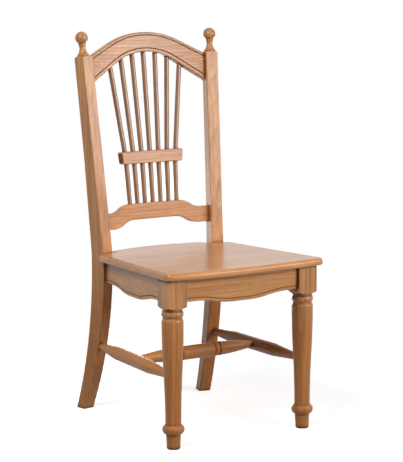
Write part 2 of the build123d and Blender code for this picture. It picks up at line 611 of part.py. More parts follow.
# Left finial
with BuildPart() as finial_left:
    with BuildSketch(FINIAL_PROFILE):
        with BuildLine():
            Polyline(
                (0, -FINIAL_DOWEL_LENGTH),
                (FINIAL_DOWEL_RADIUS, -FINIAL_DOWEL_LENGTH),
                (FINIAL_DOWEL_RADIUS, 0),
                (FINIAL_BASE_RADIUS, 0),
                (FINIAL_BASE_RADIUS, FINIAL_BASE_HEIGHT),
            )
            neck = (FINIAL_NECK_RADIUS, FINIAL_NECK_HEIGHT)
            TangentArc(neck, (FINIAL_BASE_RADIUS, FINIAL_BASE_HEIGHT), tangent=(0, -1))
            TangentArc(neck, (FINIAL_COLLAR_RADIUS, FINIAL_COLLAR_HEIGHT), tangent=(0, 1))
            Polyline(
                (FINIAL_COLLAR_RADIUS, FINIAL_COLLAR_HEIGHT),
                (FINIAL_COLLAR_RADIUS, FINIAL_COLLAR_HEIGHT + FINIAL_COLLAR_LENGTH),
                (FINIAL_NECK_RADIUS, FINIAL_COLLAR_HEIGHT + FINIAL_COLLAR_LENGTH),
            )
            ThreePointArc(
                (FINIAL_NECK_RADIUS, FINIAL_COLLAR_HEIGHT + FINIAL_COLLAR_LENGTH),
                (FINIAL_BALL_RADIUS, FINIAL_BALL_CENTER),
                (0, FINIAL_BALL_CENTER + FINIAL_BALL_RADIUS),
            )
            Line((0, FINIAL_BALL_CENTER + FINIAL_BALL_RADIUS), (0, -FINIAL_DOWEL_LENGTH))
        make_face()
    revolve(axis=Axis(FINIAL_BASE, FINIAL_AXIS))
pieces["finial_left"] = finial_left
pieces["finial_right"] = mirrored(finial_left)

# Spindles run between the middle lines of the rails; each has a start and an end on the rails' edges
SPINDLE_STEPS = [step - (SPINDLE_COUNT - 1) / 2 for step in range(SPINDLE_COUNT)]


def spindle_end(step, pitch, y, curve):
    """Where a spindle's axis meets a rail's edge."""
    x = step * pitch
    return BACK_PLANE.from_local_coords((x, y, rail_depth(curve, x)))


def crest_under(x):
    """Height of the crest rail's bottom edge at a place across the chair."""
    return arch_height(CREST_UNDER_APEX, CREST_UNDER_RADIUS, CREST_UNDER_SLOPE, x)


upper_spindles = [
    (
        spindle_end(step, SPINDLE_TIE_TOP_PITCH, TIE_TOP, TIE_CURVE),
        spindle_end(step, SPINDLE_CREST_PITCH, crest_under(step * SPINDLE_CREST_PITCH), CREST_CURVE),
    )
    for step in SPINDLE_STEPS
]
lower_spindles = [
    (
        spindle_end(step, SPINDLE_LOWER_PITCH, LOWER_MIDDLE_TOP, LOWER_CURVE),
        spindle_end(step, SPINDLE_TIE_UNDER_PITCH, TIE_RISE, TIE_CURVE),
    )
    for step in SPINDLE_STEPS
]


def spindle_hole(end, other):
    """Hole for a spindle's end, in the calling builder: it starts outside the rail."""
    axis = (end - other).normalized()
    start = Plane(end - axis * SPINDLE_TENON, z_dir=axis)
    peg(start, SPINDLE_RADIUS, 2 * SPINDLE_TENON, GLUE_LINE, Mode.SUBTRACT)


for kind, axes in (("upper", upper_spindles), ("lower", lower_spindles)):
    for number, (low_end, high_end) in enumerate(axes, start=1):
        spindle_axis = (high_end - low_end).normalized()
        with BuildPart() as spindle:
            with BuildSketch(Plane(low_end - spindle_axis * SPINDLE_TENON, z_dir=spindle_axis)):
                Circle(SPINDLE_RADIUS)
            extrude(amount=(high_end - low_end).length + 2 * SPINDLE_TENON)
        pieces[f"{kind}_spindle_{number}"] = spindle

# Crest rail: a curved plank cut to the arch, grooved along both edges of its front
CREST_LOW = crest_under(RAIL_REACH)
CREST_FRONT = -CREST_THICKNESS / 2
CREST_GROOVES = (
    (CREST_APEX, CREST_TOP_RADIUS, CREST_TOP_SLOPE, -CREST_TOP_BEAD - CREST_GROOVE_WIDTH),
    (CREST_UNDER_APEX, CREST_UNDER_RADIUS, CREST_UNDER_SLOPE, CREST_UNDER_BEAD),
)
with BuildPart() as crest_grooves:
    groove_foot = CREST_FRONT + CREST_GROOVE_DEPTH
    band(CREST_CURVE, CREST_FRONT - CREST_GROOVE_DEPTH, groove_foot, CREST_LOW, CREST_APEX)
    with BuildSketch(BACK_PLANE):
        for apex, radius, slope, inset in CREST_GROOVES:
            outset = inset + CREST_GROOVE_WIDTH
            with BuildLine():
                low_edge = arch_line(apex + inset, radius + inset, slope, RAIL_REACH)
                high_edge = arch_line(apex + outset, radius + outset, slope, RAIL_REACH)
                Line(low_edge[0], high_edge[0])
                Line(low_edge[1], high_edge[1])
            make_face()
    extrude(amount=POST_TOP_DEPTH, both=True, mode=Mode.INTERSECT)

with BuildPart() as crest_rail:
    band(CREST_CURVE, CREST_FRONT, -CREST_FRONT, CREST_LOW, CREST_APEX)
    with BuildSketch(BACK_PLANE):
        with BuildLine():
            under = arch_line(CREST_UNDER_APEX, CREST_UNDER_RADIUS, CREST_UNDER_SLOPE, RAIL_REACH)
            over = arch_line(CREST_APEX, CREST_TOP_RADIUS, CREST_TOP_SLOPE, RAIL_REACH)
            Line(under[0], over[0])
            Line(under[1], over[1])
        make_face()
    extrude(amount=POST_TOP_DEPTH, both=True, mode=Mode.INTERSECT)
    ease_long_edges(CREST_EASE)
    add(crest_grooves.part, mode=Mode.SUBTRACT)
    trim_to_posts()
    for socket in both_sides(CREST_SOCKET):
        tenon(socket, CREST_TENON_HEIGHT, TENON_THICKNESS, TENON_LENGTH)
    for low_end, high_end in upper_spindles:
        spindle_hole(high_end, low_end)
pieces["crest_rail"] = crest_rail

# Lower back rail: a curved plank with a waved top and bottom
with BuildPart() as lower_back_rail:
    band(LOWER_CURVE, -LOWER_RAIL_THICKNESS / 2, LOWER_RAIL_THICKNESS / 2, LOWER_RAIL_RISE, LOWER_MIDDLE_TOP)
    with BuildSketch(BACK_PLANE):
        with BuildLine():
            under = wave_line(
                LOWER_RAIL_UNDER_FLAT, LOWER_RAIL_UNDER_FOOT, RAIL_REACH, LOWER_MIDDLE_UNDER, LOWER_RAIL_RISE
            )
            over = wave_line(
                LOWER_RAIL_TOP_FLAT, LOWER_RAIL_TOP_FOOT, RAIL_REACH, LOWER_MIDDLE_TOP, LOWER_END_TOP
            )
            Line(under[0], over[0])
            Line(under[1], over[1])
        make_face()
    extrude(amount=POST_SEAT_DEPTH, both=True, mode=Mode.INTERSECT)
    ease_long_edges(LOWER_RAIL_EASE)
    trim_to_posts()
    for socket in both_sides(LOWER_SOCKET):
        tenon(socket, LOWER_TENON_HEIGHT, TENON_THICKNESS, TENON_LENGTH)
    for low_end, high_end in lower_spindles:
        spindle_hole(low_end, high_end)
pieces["lower_back_rail"] = lower_back_rail

# Tie bar, held by the spindles alone
with BuildPart() as tie_bar:
    band(TIE_CURVE, -TIE_THICKNESS / 2, TIE_THICKNESS / 2, TIE_RISE, TIE_TOP)
    with BuildSketch(BACK_PLANE):
        with BuildLine():
            Polyline(
                (-TIE_UNDER_WIDTH / 2, TIE_RISE),
                (TIE_UNDER_WIDTH / 2, TIE_RISE),
                (TIE_TOP_WIDTH / 2, TIE_TOP),
                (-TIE_TOP_WIDTH / 2, TIE_TOP),
                close=True,
            )
        make_face()
        fillet(vertices(), radius=TIE_CORNER_RADIUS)
    extrude(amount=POST_SEAT_DEPTH, both=True, mode=Mode.INTERSECT)
    fillet(edges(), radius=TIE_EASE)
    for low_end, high_end in upper_spindles:
        spindle_hole(low_end, high_end)
    for low_end, high_end in lower_spindles:
        spindle_hole(high_end, low_end)
pieces["tie_bar"] = tie_bar

# Corner blocks: each lies across a corner of the frame, clear of the leg or post that stands in it
FRONT_CORNER = Vector(-LEG_X + LEG_FACE, LEG_Y + LEG_FACE, 0)
REAR_CORNER = POST_INNER_FACE.from_local_coords((0, -SEAT_THICKNESS, 0))
BLOCK_NEAR = CORNER_BLOCK_CLEARANCE * sqrt(2)
BLOCK_FAR = BLOCK_NEAR + CORNER_BLOCK_THICKNESS * sqrt(2)
BLOCK_MIDDLE = (BLOCK_NEAR + BLOCK_FAR) / 2
FRONT_INNER_Y = FRONT_APRON_Y + APRON_THICKNESS


def side_inner_x(y):
    """Place of the left side apron's inner face across the chair, at a place along Y."""
    along = (y - SIDE_APRON_REAR.Y) / SIDE_APRON_RUN.Y
    outer = SIDE_APRON_REAR.X + along * SIDE_APRON_RUN.X
    return outer + APRON_THICKNESS / SIDE_APRON_OUTWARD.dot(Vector(-1, 0, 0))


def block_corners(corner, rail_y, sense):
    """Corners in plan of a block that reaches half way into the rail and the side apron."""
    rail_run = sense * (corner.Y - rail_y) + APRON_THICKNESS / 2
    for offset in (BLOCK_NEAR, BLOCK_FAR):
        yield corner.X + offset + rail_run, rail_y - sense * APRON_THICKNESS / 2
    for offset in (BLOCK_FAR, BLOCK_NEAR):
        side_y = corner.Y + sense * (offset + corner.X - side_inner_x(corner.Y))
        yield side_inner_x(side_y) - APRON_THICKNESS / 2, side_y + sense * APRON_THICKNESS / 2


def block_rail_screw(corner, rail_y, sense):
    """Plane of a screw at the rail's inner face, its normal into the rail."""
    x = corner.X + BLOCK_MIDDLE + sense * (corner.Y - rail_y)
    height = underside_height(rail_y) - CORNER_BLOCK_HEIGHT / 2
    return Plane((x, rail_y, height), x_dir=(1, 0, 0), z_dir=(0, -sense, 0))


def block_side_screw(corner, sense):
    """Plane of a screw at the side apron's inner face, its normal into the apron."""
    y = corner.Y + sense * (BLOCK_MIDDLE + corner.X - side_inner_x(corner.Y))
    height = underside_height(y) - CORNER_BLOCK_HEIGHT / 2
    return Plane((side_inner_x(y), y, height), x_dir=UP, z_dir=SIDE_APRON_OUTWARD)


def block_seat_screw(corner, rail_y, sense):
    """Plane of a screw at the seat's underside, its normal up, in the middle of the block."""
    rail = block_rail_screw(corner, rail_y, sense).origin
    side = block_side_screw(corner, sense).origin
    x, y = (rail.X + side.X) / 2, (rail.Y + side.Y) / 2
    return Plane((x, y, underside_height(y)), x_dir=(1, 0, 0), z_dir=SEAT_TOP.z_dir)


def screw(plane):
    """Screw with its head in the block and its point past the plane, in the calling builder."""
    peg(plane.offset(-SCREW_GRIP), SCREW_RADIUS, SCREW_GRIP + SCREW_BITE)
    peg(plane.offset(-SCREW_GRIP - SCREW_HEAD_HEIGHT), SCREW_HEAD_RADIUS, SCREW_HEAD_HEIGHT)


def screw_hole(plane):
    """Hole for a screw, bored out for its head, in the calling builder."""
    head = plane.offset(-SCREW_GRIP - CORNER_BLOCK_HEIGHT)
    peg(plane.offset(-SCREW_GRIP), SCREW_RADIUS, SCREW_GRIP + SCREW_BITE, GLUE_LINE, Mode.SUBTRACT)
    with BuildSketch(head) as bore:
        Circle(SCREW_HEAD_RADIUS + GLUE_LINE)
    extrude(bore.sketch, amount=CORNER_BLOCK_HEIGHT, mode=Mode.SUBTRACT)


FRONT_RAIL_SCREW = block_rail_screw(FRONT_CORNER, FRONT_INNER_Y, 1)
FRONT_SIDE_SCREW = block_side_screw(FRONT_CORNER, 1)
FRONT_SEAT_SCREW = block_seat_screw(FRONT_CORNER, FRONT_INNER_Y, 1)
REAR_RAIL_SCREW = block_rail_screw(REAR_CORNER, REAR_APRON_FRONT_Y, -1)
REAR_SIDE_SCREW = block_side_screw(REAR_CORNER, -1)
REAR_SEAT_SCREW = block_seat_screw(REAR_CORNER, REAR_APRON_FRONT_Y, -1)


def is_bead_edge(edge, plane, reach):
    """True for an edge along the bottom of an apron's outer face, given the face's plane."""
    middle = plane.to_local_coords(edge.center())
    on_face = abs(middle.Z) < SAME_PLACE
    return on_face and middle.Y < SAME_PLACE - APRON_DEPTH and abs(middle.X) < reach - SAME_PLACE


def apron(plane, reach, drop):
    """Waved and beaded apron in its own plane, before its ends are cut, in the calling builder."""
    with BuildSketch(plane) as outline:
        with BuildLine():
            under = wave_line(APRON_FLAT, APRON_FOOT, reach, -APRON_DEPTH - drop, -APRON_DEPTH)
            Polyline(under[0], (-reach, SEAT_THICKNESS), (reach, SEAT_THICKNESS), under[1])
        make_face()
    extrude(outline.sketch, amount=-APRON_THICKNESS)
    fillet(edges().filter_by(lambda edge: is_bead_edge(edge, plane, reach)), radius=APRON_EASE)
    with BuildSketch(plane) as groove:
        with BuildLine():
            foot = APRON_BEAD - APRON_DEPTH
            low_edge = wave_line(APRON_FLAT, APRON_FOOT, reach, foot - drop, foot)
            foot = foot + APRON_GROOVE
            high_edge = wave_line(APRON_FLAT, APRON_FOOT, reach, foot - drop, foot)
            Line(low_edge[0], high_edge[0])
            Line(low_edge[1], high_edge[1])
        make_face()
    extrude(groove.sketch, amount=-APRON_GROOVE_DEPTH, mode=Mode.SUBTRACT)
    split(bisect_by=SEAT_UNDERSIDE, keep=Keep.BOTTOM)


# Front apron
with BuildPart() as front_apron:
    apron(FRONT_APRON_PLANE, FRONT_APRON_HALF, FRONT_APRON_DROP)
    for socket in both_sides(FRONT_APRON_SOCKET):
        tenon(socket, APRON_TENON_HEIGHT, TENON_THICKNESS, APRON_TENON_REACH)
    for place in both_sides(FRONT_RAIL_SCREW):
        screw_hole(place)
pieces["front_apron"] = front_apron

# Left side apron, its rear end scribed to the curve of the post
with BuildPart() as side_apron_left:
    apron(SIDE_APRON_PLANE, SIDE_APRON_HALF + TENON_SHOULDER, SIDE_APRON_DROP)
    add(leg_blank.part, mode=Mode.SUBTRACT)
    add(post_blank.part, mode=Mode.SUBTRACT)
    for socket in (SIDE_APRON_FRONT_SOCKET, SIDE_APRON_REAR_SOCKET):
        tenon(socket, APRON_TENON_HEIGHT, TENON_THICKNESS, APRON_TENON_REACH)
    for place in (FRONT_SIDE_SCREW, REAR_SIDE_SCREW):
        screw_hole(place)
pieces["side_apron_left"] = side_apron_left
pieces["side_apron_right"] = mirrored(side_apron_left)

# Rear apron, straight along the bottom
with BuildPart() as rear_apron:
    with BuildSketch(REAR_APRON_PLANE):
        Rectangle(2 * RAIL_REACH, 2 * APRON_DEPTH)
    extrude(amount=-APRON_THICKNESS)
    split(bisect_by=SEAT_UNDERSIDE, keep=Keep.BOTTOM)
    trim_to_posts()
    for socket in both_sides(REAR_APRON_SOCKET):
        tenon(socket, APRON_TENON_HEIGHT, TENON_THICKNESS, APRON_TENON_REACH)
    for place in both_sides(REAR_RAIL_SCREW):
        screw_hole(place)
pieces["rear_apron"] = rear_apron

# Corner blocks on the left side
with BuildPart() as corner_block_front_left:
    with BuildSketch(Plane.XY.offset(underside_height(FRONT_CORNER.Y) - CORNER_BLOCK_HEIGHT)):
        with BuildLine():
            Polyline(*block_corners(FRONT_CORNER, FRONT_INNER_Y, 1), close=True)
        make_face()
    extrude(amount=2 * CORNER_BLOCK_HEIGHT)
    split(bisect_by=SEAT_UNDERSIDE, keep=Keep.BOTTOM)
    add(front_apron.part, mode=Mode.SUBTRACT)
    add(side_apron_left.part, mode=Mode.SUBTRACT)
    for place in (FRONT_RAIL_SCREW, FRONT_SIDE_SCREW, FRONT_SEAT_SCREW):
        screw_hole(place)
pieces["corner_block_front_left"] = corner_block_front_left
pieces["corner_block_front_right"] = mirrored(corner_block_front_left)

with BuildPart() as corner_block_rear_left:
    with BuildSketch(Plane.XY.offset(underside_height(REAR_CORNER.Y) - CORNER_BLOCK_HEIGHT)):
        with BuildLine():
            Polyline(*block_corners(REAR_CORNER, REAR_APRON_FRONT_Y, -1), close=True)
        make_face()
    extrude(amount=2 * CORNER_BLOCK_HEIGHT)
    split(bisect_by=SEAT_UNDERSIDE, keep=Keep.BOTTOM)
    add(rear_apron.part, mode=Mode.SUBTRACT)
    add(side_apron_left.part, mode=Mode.SUBTRACT)
    add(post_blank.part, mode=Mode.SUBTRACT)
    for place in (REAR_RAIL_SCREW, REAR_SIDE_SCREW, REAR_SEAT_SCREW):
        screw_hole(place)
pieces["corner_block_rear_left"] = corner_block_rear_left
pieces["corner_block_rear_right"] = mirrored(corner_block_rear_left)

# Screws from the corner blocks into the aprons, and up into the seat
with BuildPart() as block_screws:
    for place in (FRONT_RAIL_SCREW, FRONT_SIDE_SCREW, REAR_RAIL_SCREW, REAR_SIDE_SCREW):
        screw(place)
    mirror(about=Plane.YZ)
pieces["block_screws"] = block_screws

with BuildPart() as seat_screws:
    for place in (FRONT_SEAT_SCREW, REAR_SEAT_SCREW):
        screw(place)
    mirror(about=Plane.YZ)
pieces["seat_screws"] = seat_screws

# Left side stretcher: a barrel with a cone to each end
SIDE_MIDDLE = (STRETCHER_LEG_FACE + STRETCHER_POST_FACE) / 2
with BuildPart() as side_stretcher_left:
    with BuildSketch(turning_plane(STRETCHER_FRONT, STRETCHER_ALONG, UP)):
        with BuildLine():
            Polyline(
                (0, STRETCHER_LEG_FACE - STRETCHER_TENON_LENGTH),
                (STRETCHER_TENON_RADIUS, STRETCHER_LEG_FACE - STRETCHER_TENON_LENGTH),
                (STRETCHER_TENON_RADIUS, STRETCHER_LEG_FACE + STRETCHER_LEG_REVEAL),
                (STRETCHER_RADIUS, SIDE_MIDDLE - SIDE_STRETCHER_BARREL / 2),
                (STRETCHER_RADIUS, SIDE_MIDDLE + SIDE_STRETCHER_BARREL / 2),
                (STRETCHER_TENON_RADIUS, STRETCHER_POST_FACE - STRETCHER_POST_REVEAL),
                (STRETCHER_TENON_RADIUS, STRETCHER_POST_FACE + STRETCHER_TENON_LENGTH),
                (0, STRETCHER_POST_FACE + STRETCHER_TENON_LENGTH),
                close=True,
            )
        make_face()
    revolve(axis=Axis(STRETCHER_FRONT, STRETCHER_ALONG))
    peg(CENTER_SOCKET, STRETCHER_TENON_RADIUS, STRETCHER_PEG_REACH, GLUE_LINE, Mode.SUBTRACT)
pieces["side_stretcher_left"] = side_stretcher_left
pieces["side_stretcher_right"] = mirrored(side_stretcher_left)

# Centre stretcher: a barrel between two beads, with a swelled cone to each end
CENTER_MIDDLE = Vector(0, CENTER_END.Y, CENTER_END.Z)
BEAD_START = CENTER_STRETCHER_BARREL / 2 + CENTER_GROOVE_WIDTH
BEAD_END = BEAD_START + CENTER_BEAD_LENGTH
GROOVE_RADIUS = CENTER_STRETCHER_RADIUS - CENTER_GROOVE_DEPTH
CONE_START = (CENTER_STRETCHER_RADIUS, BEAD_END + CENTER_GROOVE_WIDTH)
CONE_END = (STRETCHER_TENON_RADIUS, CENTER_FACE - STRETCHER_LEG_REVEAL)
CONE_MIDDLE = ((CONE_START[0] + CONE_END[0]) / 2 + CENTER_CONE_SWELL, (CONE_START[1] + CONE_END[1]) / 2)
with BuildPart() as center_stretcher:
    with BuildSketch(turning_plane(CENTER_MIDDLE, Vector(1, 0, 0), UP)):
        with BuildLine():
            Polyline(
                (0, 0),
                (CENTER_STRETCHER_RADIUS, 0),
                (CENTER_STRETCHER_RADIUS, CENTER_STRETCHER_BARREL / 2),
                (GROOVE_RADIUS, CENTER_STRETCHER_BARREL / 2),
                (GROOVE_RADIUS, BEAD_START),
            )
            ThreePointArc(
                (GROOVE_RADIUS, BEAD_START),
                (CENTER_STRETCHER_RADIUS, (BEAD_START + BEAD_END) / 2),
                (GROOVE_RADIUS, BEAD_END),
            )
            Polyline((GROOVE_RADIUS, BEAD_END), (GROOVE_RADIUS, BEAD_END + CENTER_GROOVE_WIDTH), CONE_START)
            ThreePointArc(CONE_START, CONE_MIDDLE, CONE_END)
            Polyline(CONE_END, (STRETCHER_TENON_RADIUS, CENTER_TIP), (0, CENTER_TIP), (0, 0))
        make_face()
    revolve(axis=Axis(CENTER_MIDDLE, (1, 0, 0)))
    mirror(about=Plane.YZ)
pieces["center_stretcher"] = center_stretcher

# Seat: a solid panel notched round the posts, its outer edges rounded
SEAT_HALF_FRONT = LEG_X + LEG_FACE + SEAT_SIDE_OVERHANG
SEAT_HALF_REAR = POST_SPREAD / 2 + SEAT_POST_OVERHANG
NOTCH_X = REAR_CORNER.X + NOTCH_GAP


def notch_y(x):
    """Front edge of a notch on the seat's plane, just clear of the post's front face."""
    inward = POST_SPREAD / 2 - abs(x)
    return (POST_Y - SEAT_FRONT_Y + inward * tan(TOE) - SEAT_CLEARANCE / cos(TOE)) / cos(TILT)


def round_seat_rims(rim_filter):
    """Rounds the seat's top and bottom edges that a filter keeps, in the calling builder."""
    for face, radius in ((SEAT_TOP, SEAT_TOP_ROUND), (SEAT_UNDERSIDE, SEAT_UNDER_ROUND)):
        rim = edges().filter_by(lambda edge: abs(face.to_local_coords(edge.center()).Z) < SAME_PLACE)
        fillet(rim.filter_by(rim_filter), radius=radius)


SEAT_NOTCH_Y = notch_y(POST_SPREAD / 2)
SEAT_TONGUE_Y = SEAT_NOTCH_Y + SEAT_TONGUE
with BuildPart() as seat:
    with BuildSketch(SEAT_TOP):
        with BuildLine():
            ThreePointArc((-SEAT_HALF_FRONT, SEAT_FRONT_BOW), (0, 0), (SEAT_HALF_FRONT, SEAT_FRONT_BOW))
            Polyline(
                (SEAT_HALF_FRONT, SEAT_FRONT_BOW),
                (SEAT_HALF_REAR, SEAT_NOTCH_Y),
                (-SEAT_HALF_REAR, SEAT_NOTCH_Y),
                (-SEAT_HALF_FRONT, SEAT_FRONT_BOW),
            )
        make_face()
        fillet(vertices().group_by(Axis.Y)[0], radius=SEAT_FRONT_CORNER)
        fillet(vertices().group_by(Axis.Y)[-1], radius=SEAT_REAR_CORNER)
    extrude(amount=-SEAT_THICKNESS)
    round_seat_rims(lambda edge: True)
    with BuildSketch(SEAT_TOP):
        with BuildLine():
            ThreePointArc(
                (NOTCH_X, SEAT_TONGUE_Y), (0, SEAT_TONGUE_Y + SEAT_REAR_BOW), (-NOTCH_X, SEAT_TONGUE_Y)
            )
            Polyline(
                (NOTCH_X, SEAT_TONGUE_Y),
                (NOTCH_X, notch_y(NOTCH_X)),
                (-POST_SPREAD / 2, SEAT_NOTCH_Y),
                (-POST_SPREAD / 2, SEAT_NOTCH_Y - SEAT_TONGUE),
                (POST_SPREAD / 2, SEAT_NOTCH_Y - SEAT_TONGUE),
                (POST_SPREAD / 2, SEAT_NOTCH_Y),
                (-NOTCH_X, notch_y(NOTCH_X)),
                (-NOTCH_X, SEAT_TONGUE_Y),
            )
        make_face()
    extrude(amount=-SEAT_THICKNESS)
    round_seat_rims(lambda edge: SEAT_TOP.to_local_coords(edge.center()).Y > SEAT_TONGUE_Y)
    for place in both_sides(FRONT_SEAT_SCREW) + both_sides(REAR_SEAT_SCREW):
        screw_hole(place)
pieces["seat"] = seat

for name, piece in pieces.items():
    piece.part.label = name
os.makedirs("parts", exist_ok=True)
for name, piece in pieces.items():
    export_step(piece.part, f"parts/{name}.step")
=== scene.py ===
from math import cos, pi, radians, sin
from typing import NamedTuple

import bmesh
import bpy
from bpy.props import FloatProperty, FloatVectorProperty, PointerProperty
from bpy.types import Operator, Panel, PropertyGroup
from mathutils import Matrix, Vector


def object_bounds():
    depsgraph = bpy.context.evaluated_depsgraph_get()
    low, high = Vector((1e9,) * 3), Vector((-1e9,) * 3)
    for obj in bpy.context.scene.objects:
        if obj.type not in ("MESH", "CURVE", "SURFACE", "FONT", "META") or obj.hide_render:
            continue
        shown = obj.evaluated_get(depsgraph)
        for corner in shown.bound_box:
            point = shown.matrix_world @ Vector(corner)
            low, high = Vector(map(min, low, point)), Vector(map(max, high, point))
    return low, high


bl_info = {
    "name": "Spindle-Back Dining Chair",
    "version": (1, 0, 0),
    "blender": (4, 5, 0),
    "location": "3D View > Sidebar > Chair",
    "description": "Finishes a chair's pieces in honey-coloured timber and sets up a plain studio",
    "category": "Object",
}

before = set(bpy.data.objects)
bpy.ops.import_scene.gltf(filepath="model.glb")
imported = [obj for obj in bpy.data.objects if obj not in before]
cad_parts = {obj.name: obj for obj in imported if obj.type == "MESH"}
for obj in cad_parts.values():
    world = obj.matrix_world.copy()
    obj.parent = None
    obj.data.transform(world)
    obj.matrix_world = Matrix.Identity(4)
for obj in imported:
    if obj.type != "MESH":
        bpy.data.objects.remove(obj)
CAD_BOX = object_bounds()

SIDES = ("left", "right")
POSTS = tuple(f"rear_post_{side}" for side in SIDES)
FINIALS = tuple(f"finial_{side}" for side in SIDES)
UPPER_SPINDLES = tuple(f"upper_spindle_{number}" for number in range(1, 8))
LOWER_SPINDLES = tuple(f"lower_spindle_{number}" for number in range(1, 8))
CROSS_APRONS = ("front_apron", "rear_apron")
SIDE_APRONS = tuple(f"side_apron_{side}" for side in SIDES)
LEGS = tuple(f"front_leg_{side}" for side in SIDES)
SIDE_STRETCHERS = tuple(f"side_stretcher_{side}" for side in SIDES)
BLOCKS = tuple(f"corner_block_{end}_{side}" for end in ("front", "rear") for side in SIDES)
SCREWS = ("block_screws", "seat_screws")

BLACK = (0.0, 0.0, 0.0, 1.0)
WHITE = (1.0, 1.0, 1.0, 1.0)


class GrainWay(NamedTuple):
    """Which way the grain runs in a piece."""

    axis: tuple  # the grain's own axis
    turn: tuple  # the turn that lays that axis on x


ALONG_X = GrainWay(axis=(1.0, 0.0, 0.0), turn=(0.0, 0.0, 0.0))
ALONG_Y = GrainWay(axis=(0.0, 1.0, 0.0), turn=(0.0, 0.0, pi / 2))
ALONG_Z = GrainWay(axis=(0.0, 0.0, 1.0), turn=(0.0, pi / 2, 0.0))


class Pattern(NamedTuple):
    """Noise that is drawn out along the grain."""

    scale: tuple  # how many to the metre, along the grain and across it
    detail: float
    roughness: float
    start: float  # the noise's value where the pattern begins to show
    full: float  # and where it shows in full


FIBRES = Pattern(scale=(20.0, 330.0, 330.0), detail=4.0, roughness=0.62, start=0.25, full=0.75)
BANDS = Pattern(scale=(2.4, 105.0, 105.0), detail=2.0, roughness=0.6, start=0.30, full=0.70)
TONE = Pattern(scale=(1.2, 15.0, 15.0), detail=2.0, roughness=0.5, start=0.28, full=0.72)
BLUSH = Pattern(scale=(3.0, 42.0, 42.0), detail=2.0, roughness=0.5, start=0.45, full=0.70)
PORES = Pattern(scale=(70.0, 1100.0, 1100.0), detail=1.0, roughness=0.5, start=0.60, full=0.72)

# How much each pattern adds to the depth of the wood's colour
FIBRE_DEPTH = 0.30
BAND_DEPTH = 0.42
TONE_DEPTH = 0.34

# Most that the redder patches, the painted shade near the floor and the painted contact shadow on
# the feet cover
BLUSH_COVER = 0.30
LOW_SHADE_COVER = 0.5
FOOT_SHADOW_COVER = 0.7

# Growth rings: drawn out along the log, whose heart lies to one side of the piece
RING_STRETCH = (0.035, 1.0, 1.0)
HEART_OFFSET = (0.0, 0.083, 0.127)
RING_WAVER = {"Distortion": 7.0, "Detail": 3.0, "Detail Scale": 0.35, "Detail Roughness": 0.55}
WAVE_LENGTH = pi / 10  # distance between the rings of a Wave texture at a scale of 1

# How squarely a face has to meet the grain to begin to be end grain, and to be all end grain
END_START, END_FULL = 0.80, 0.97

# How closed in a spot has to be for the glaze and painted shade to begin to show, and to lie in
# full
GLAZE_AND_SHADE_START, GLAZE_AND_SHADE_FULL = 0.08, 0.46
GLAZE_AND_SHADE_SAMPLES = 8

# The timber's clear finish
SPECULAR = 0.32
COAT_ROUGHNESS = 0.22
FIBRE_ROUGHNESS = 0.07
SOAKED_ROUGHNESS = 0.35
PORE_SINK = 1.5
RELIEF_STRENGTH = 0.12
RELIEF_DEPTH = 0.0004
ALL_DULL = 0.5  # share of the dulled height where no gloss is left

# The screws' steel
STEEL_DARK = (0.46, 0.45, 0.42, 1.0)
STEEL_BRIGHT = (0.66, 0.65, 0.62, 1.0)
STEEL_MOTTLE = {"scale": 900.0, "detail": 3.0, "roughness": 0.6}
STEEL_ROUGH_AT = 2.2  # the mottle's value at which the steel would be quite matt

FLOOR_SEGMENTS = 96
SENSOR_WIDTH = 36.0

GRAIN_INPUTS = {
    "NodeSocketVector": ("Along Grain", "Facing", "Grain Axis"),
    "NodeSocketColor": ("Pale", "Deep", "Warm", "Low", "Streak", "Glaze And Shade"),
    "NodeSocketFloat": (
        "Ring Spacing",
        "Figure",
        "Pores",
        "End Stain",
        "Openness",
        "Gathered",
        "Foot Shadow",
        "Polish",
        "Base Roughness",
        "Base Coat",
    ),
}
GRAIN_OUTPUTS = {
    "NodeSocketColor": ("Color",),
    "NodeSocketFloat": ("Roughness", "Coat", "Height"),
}


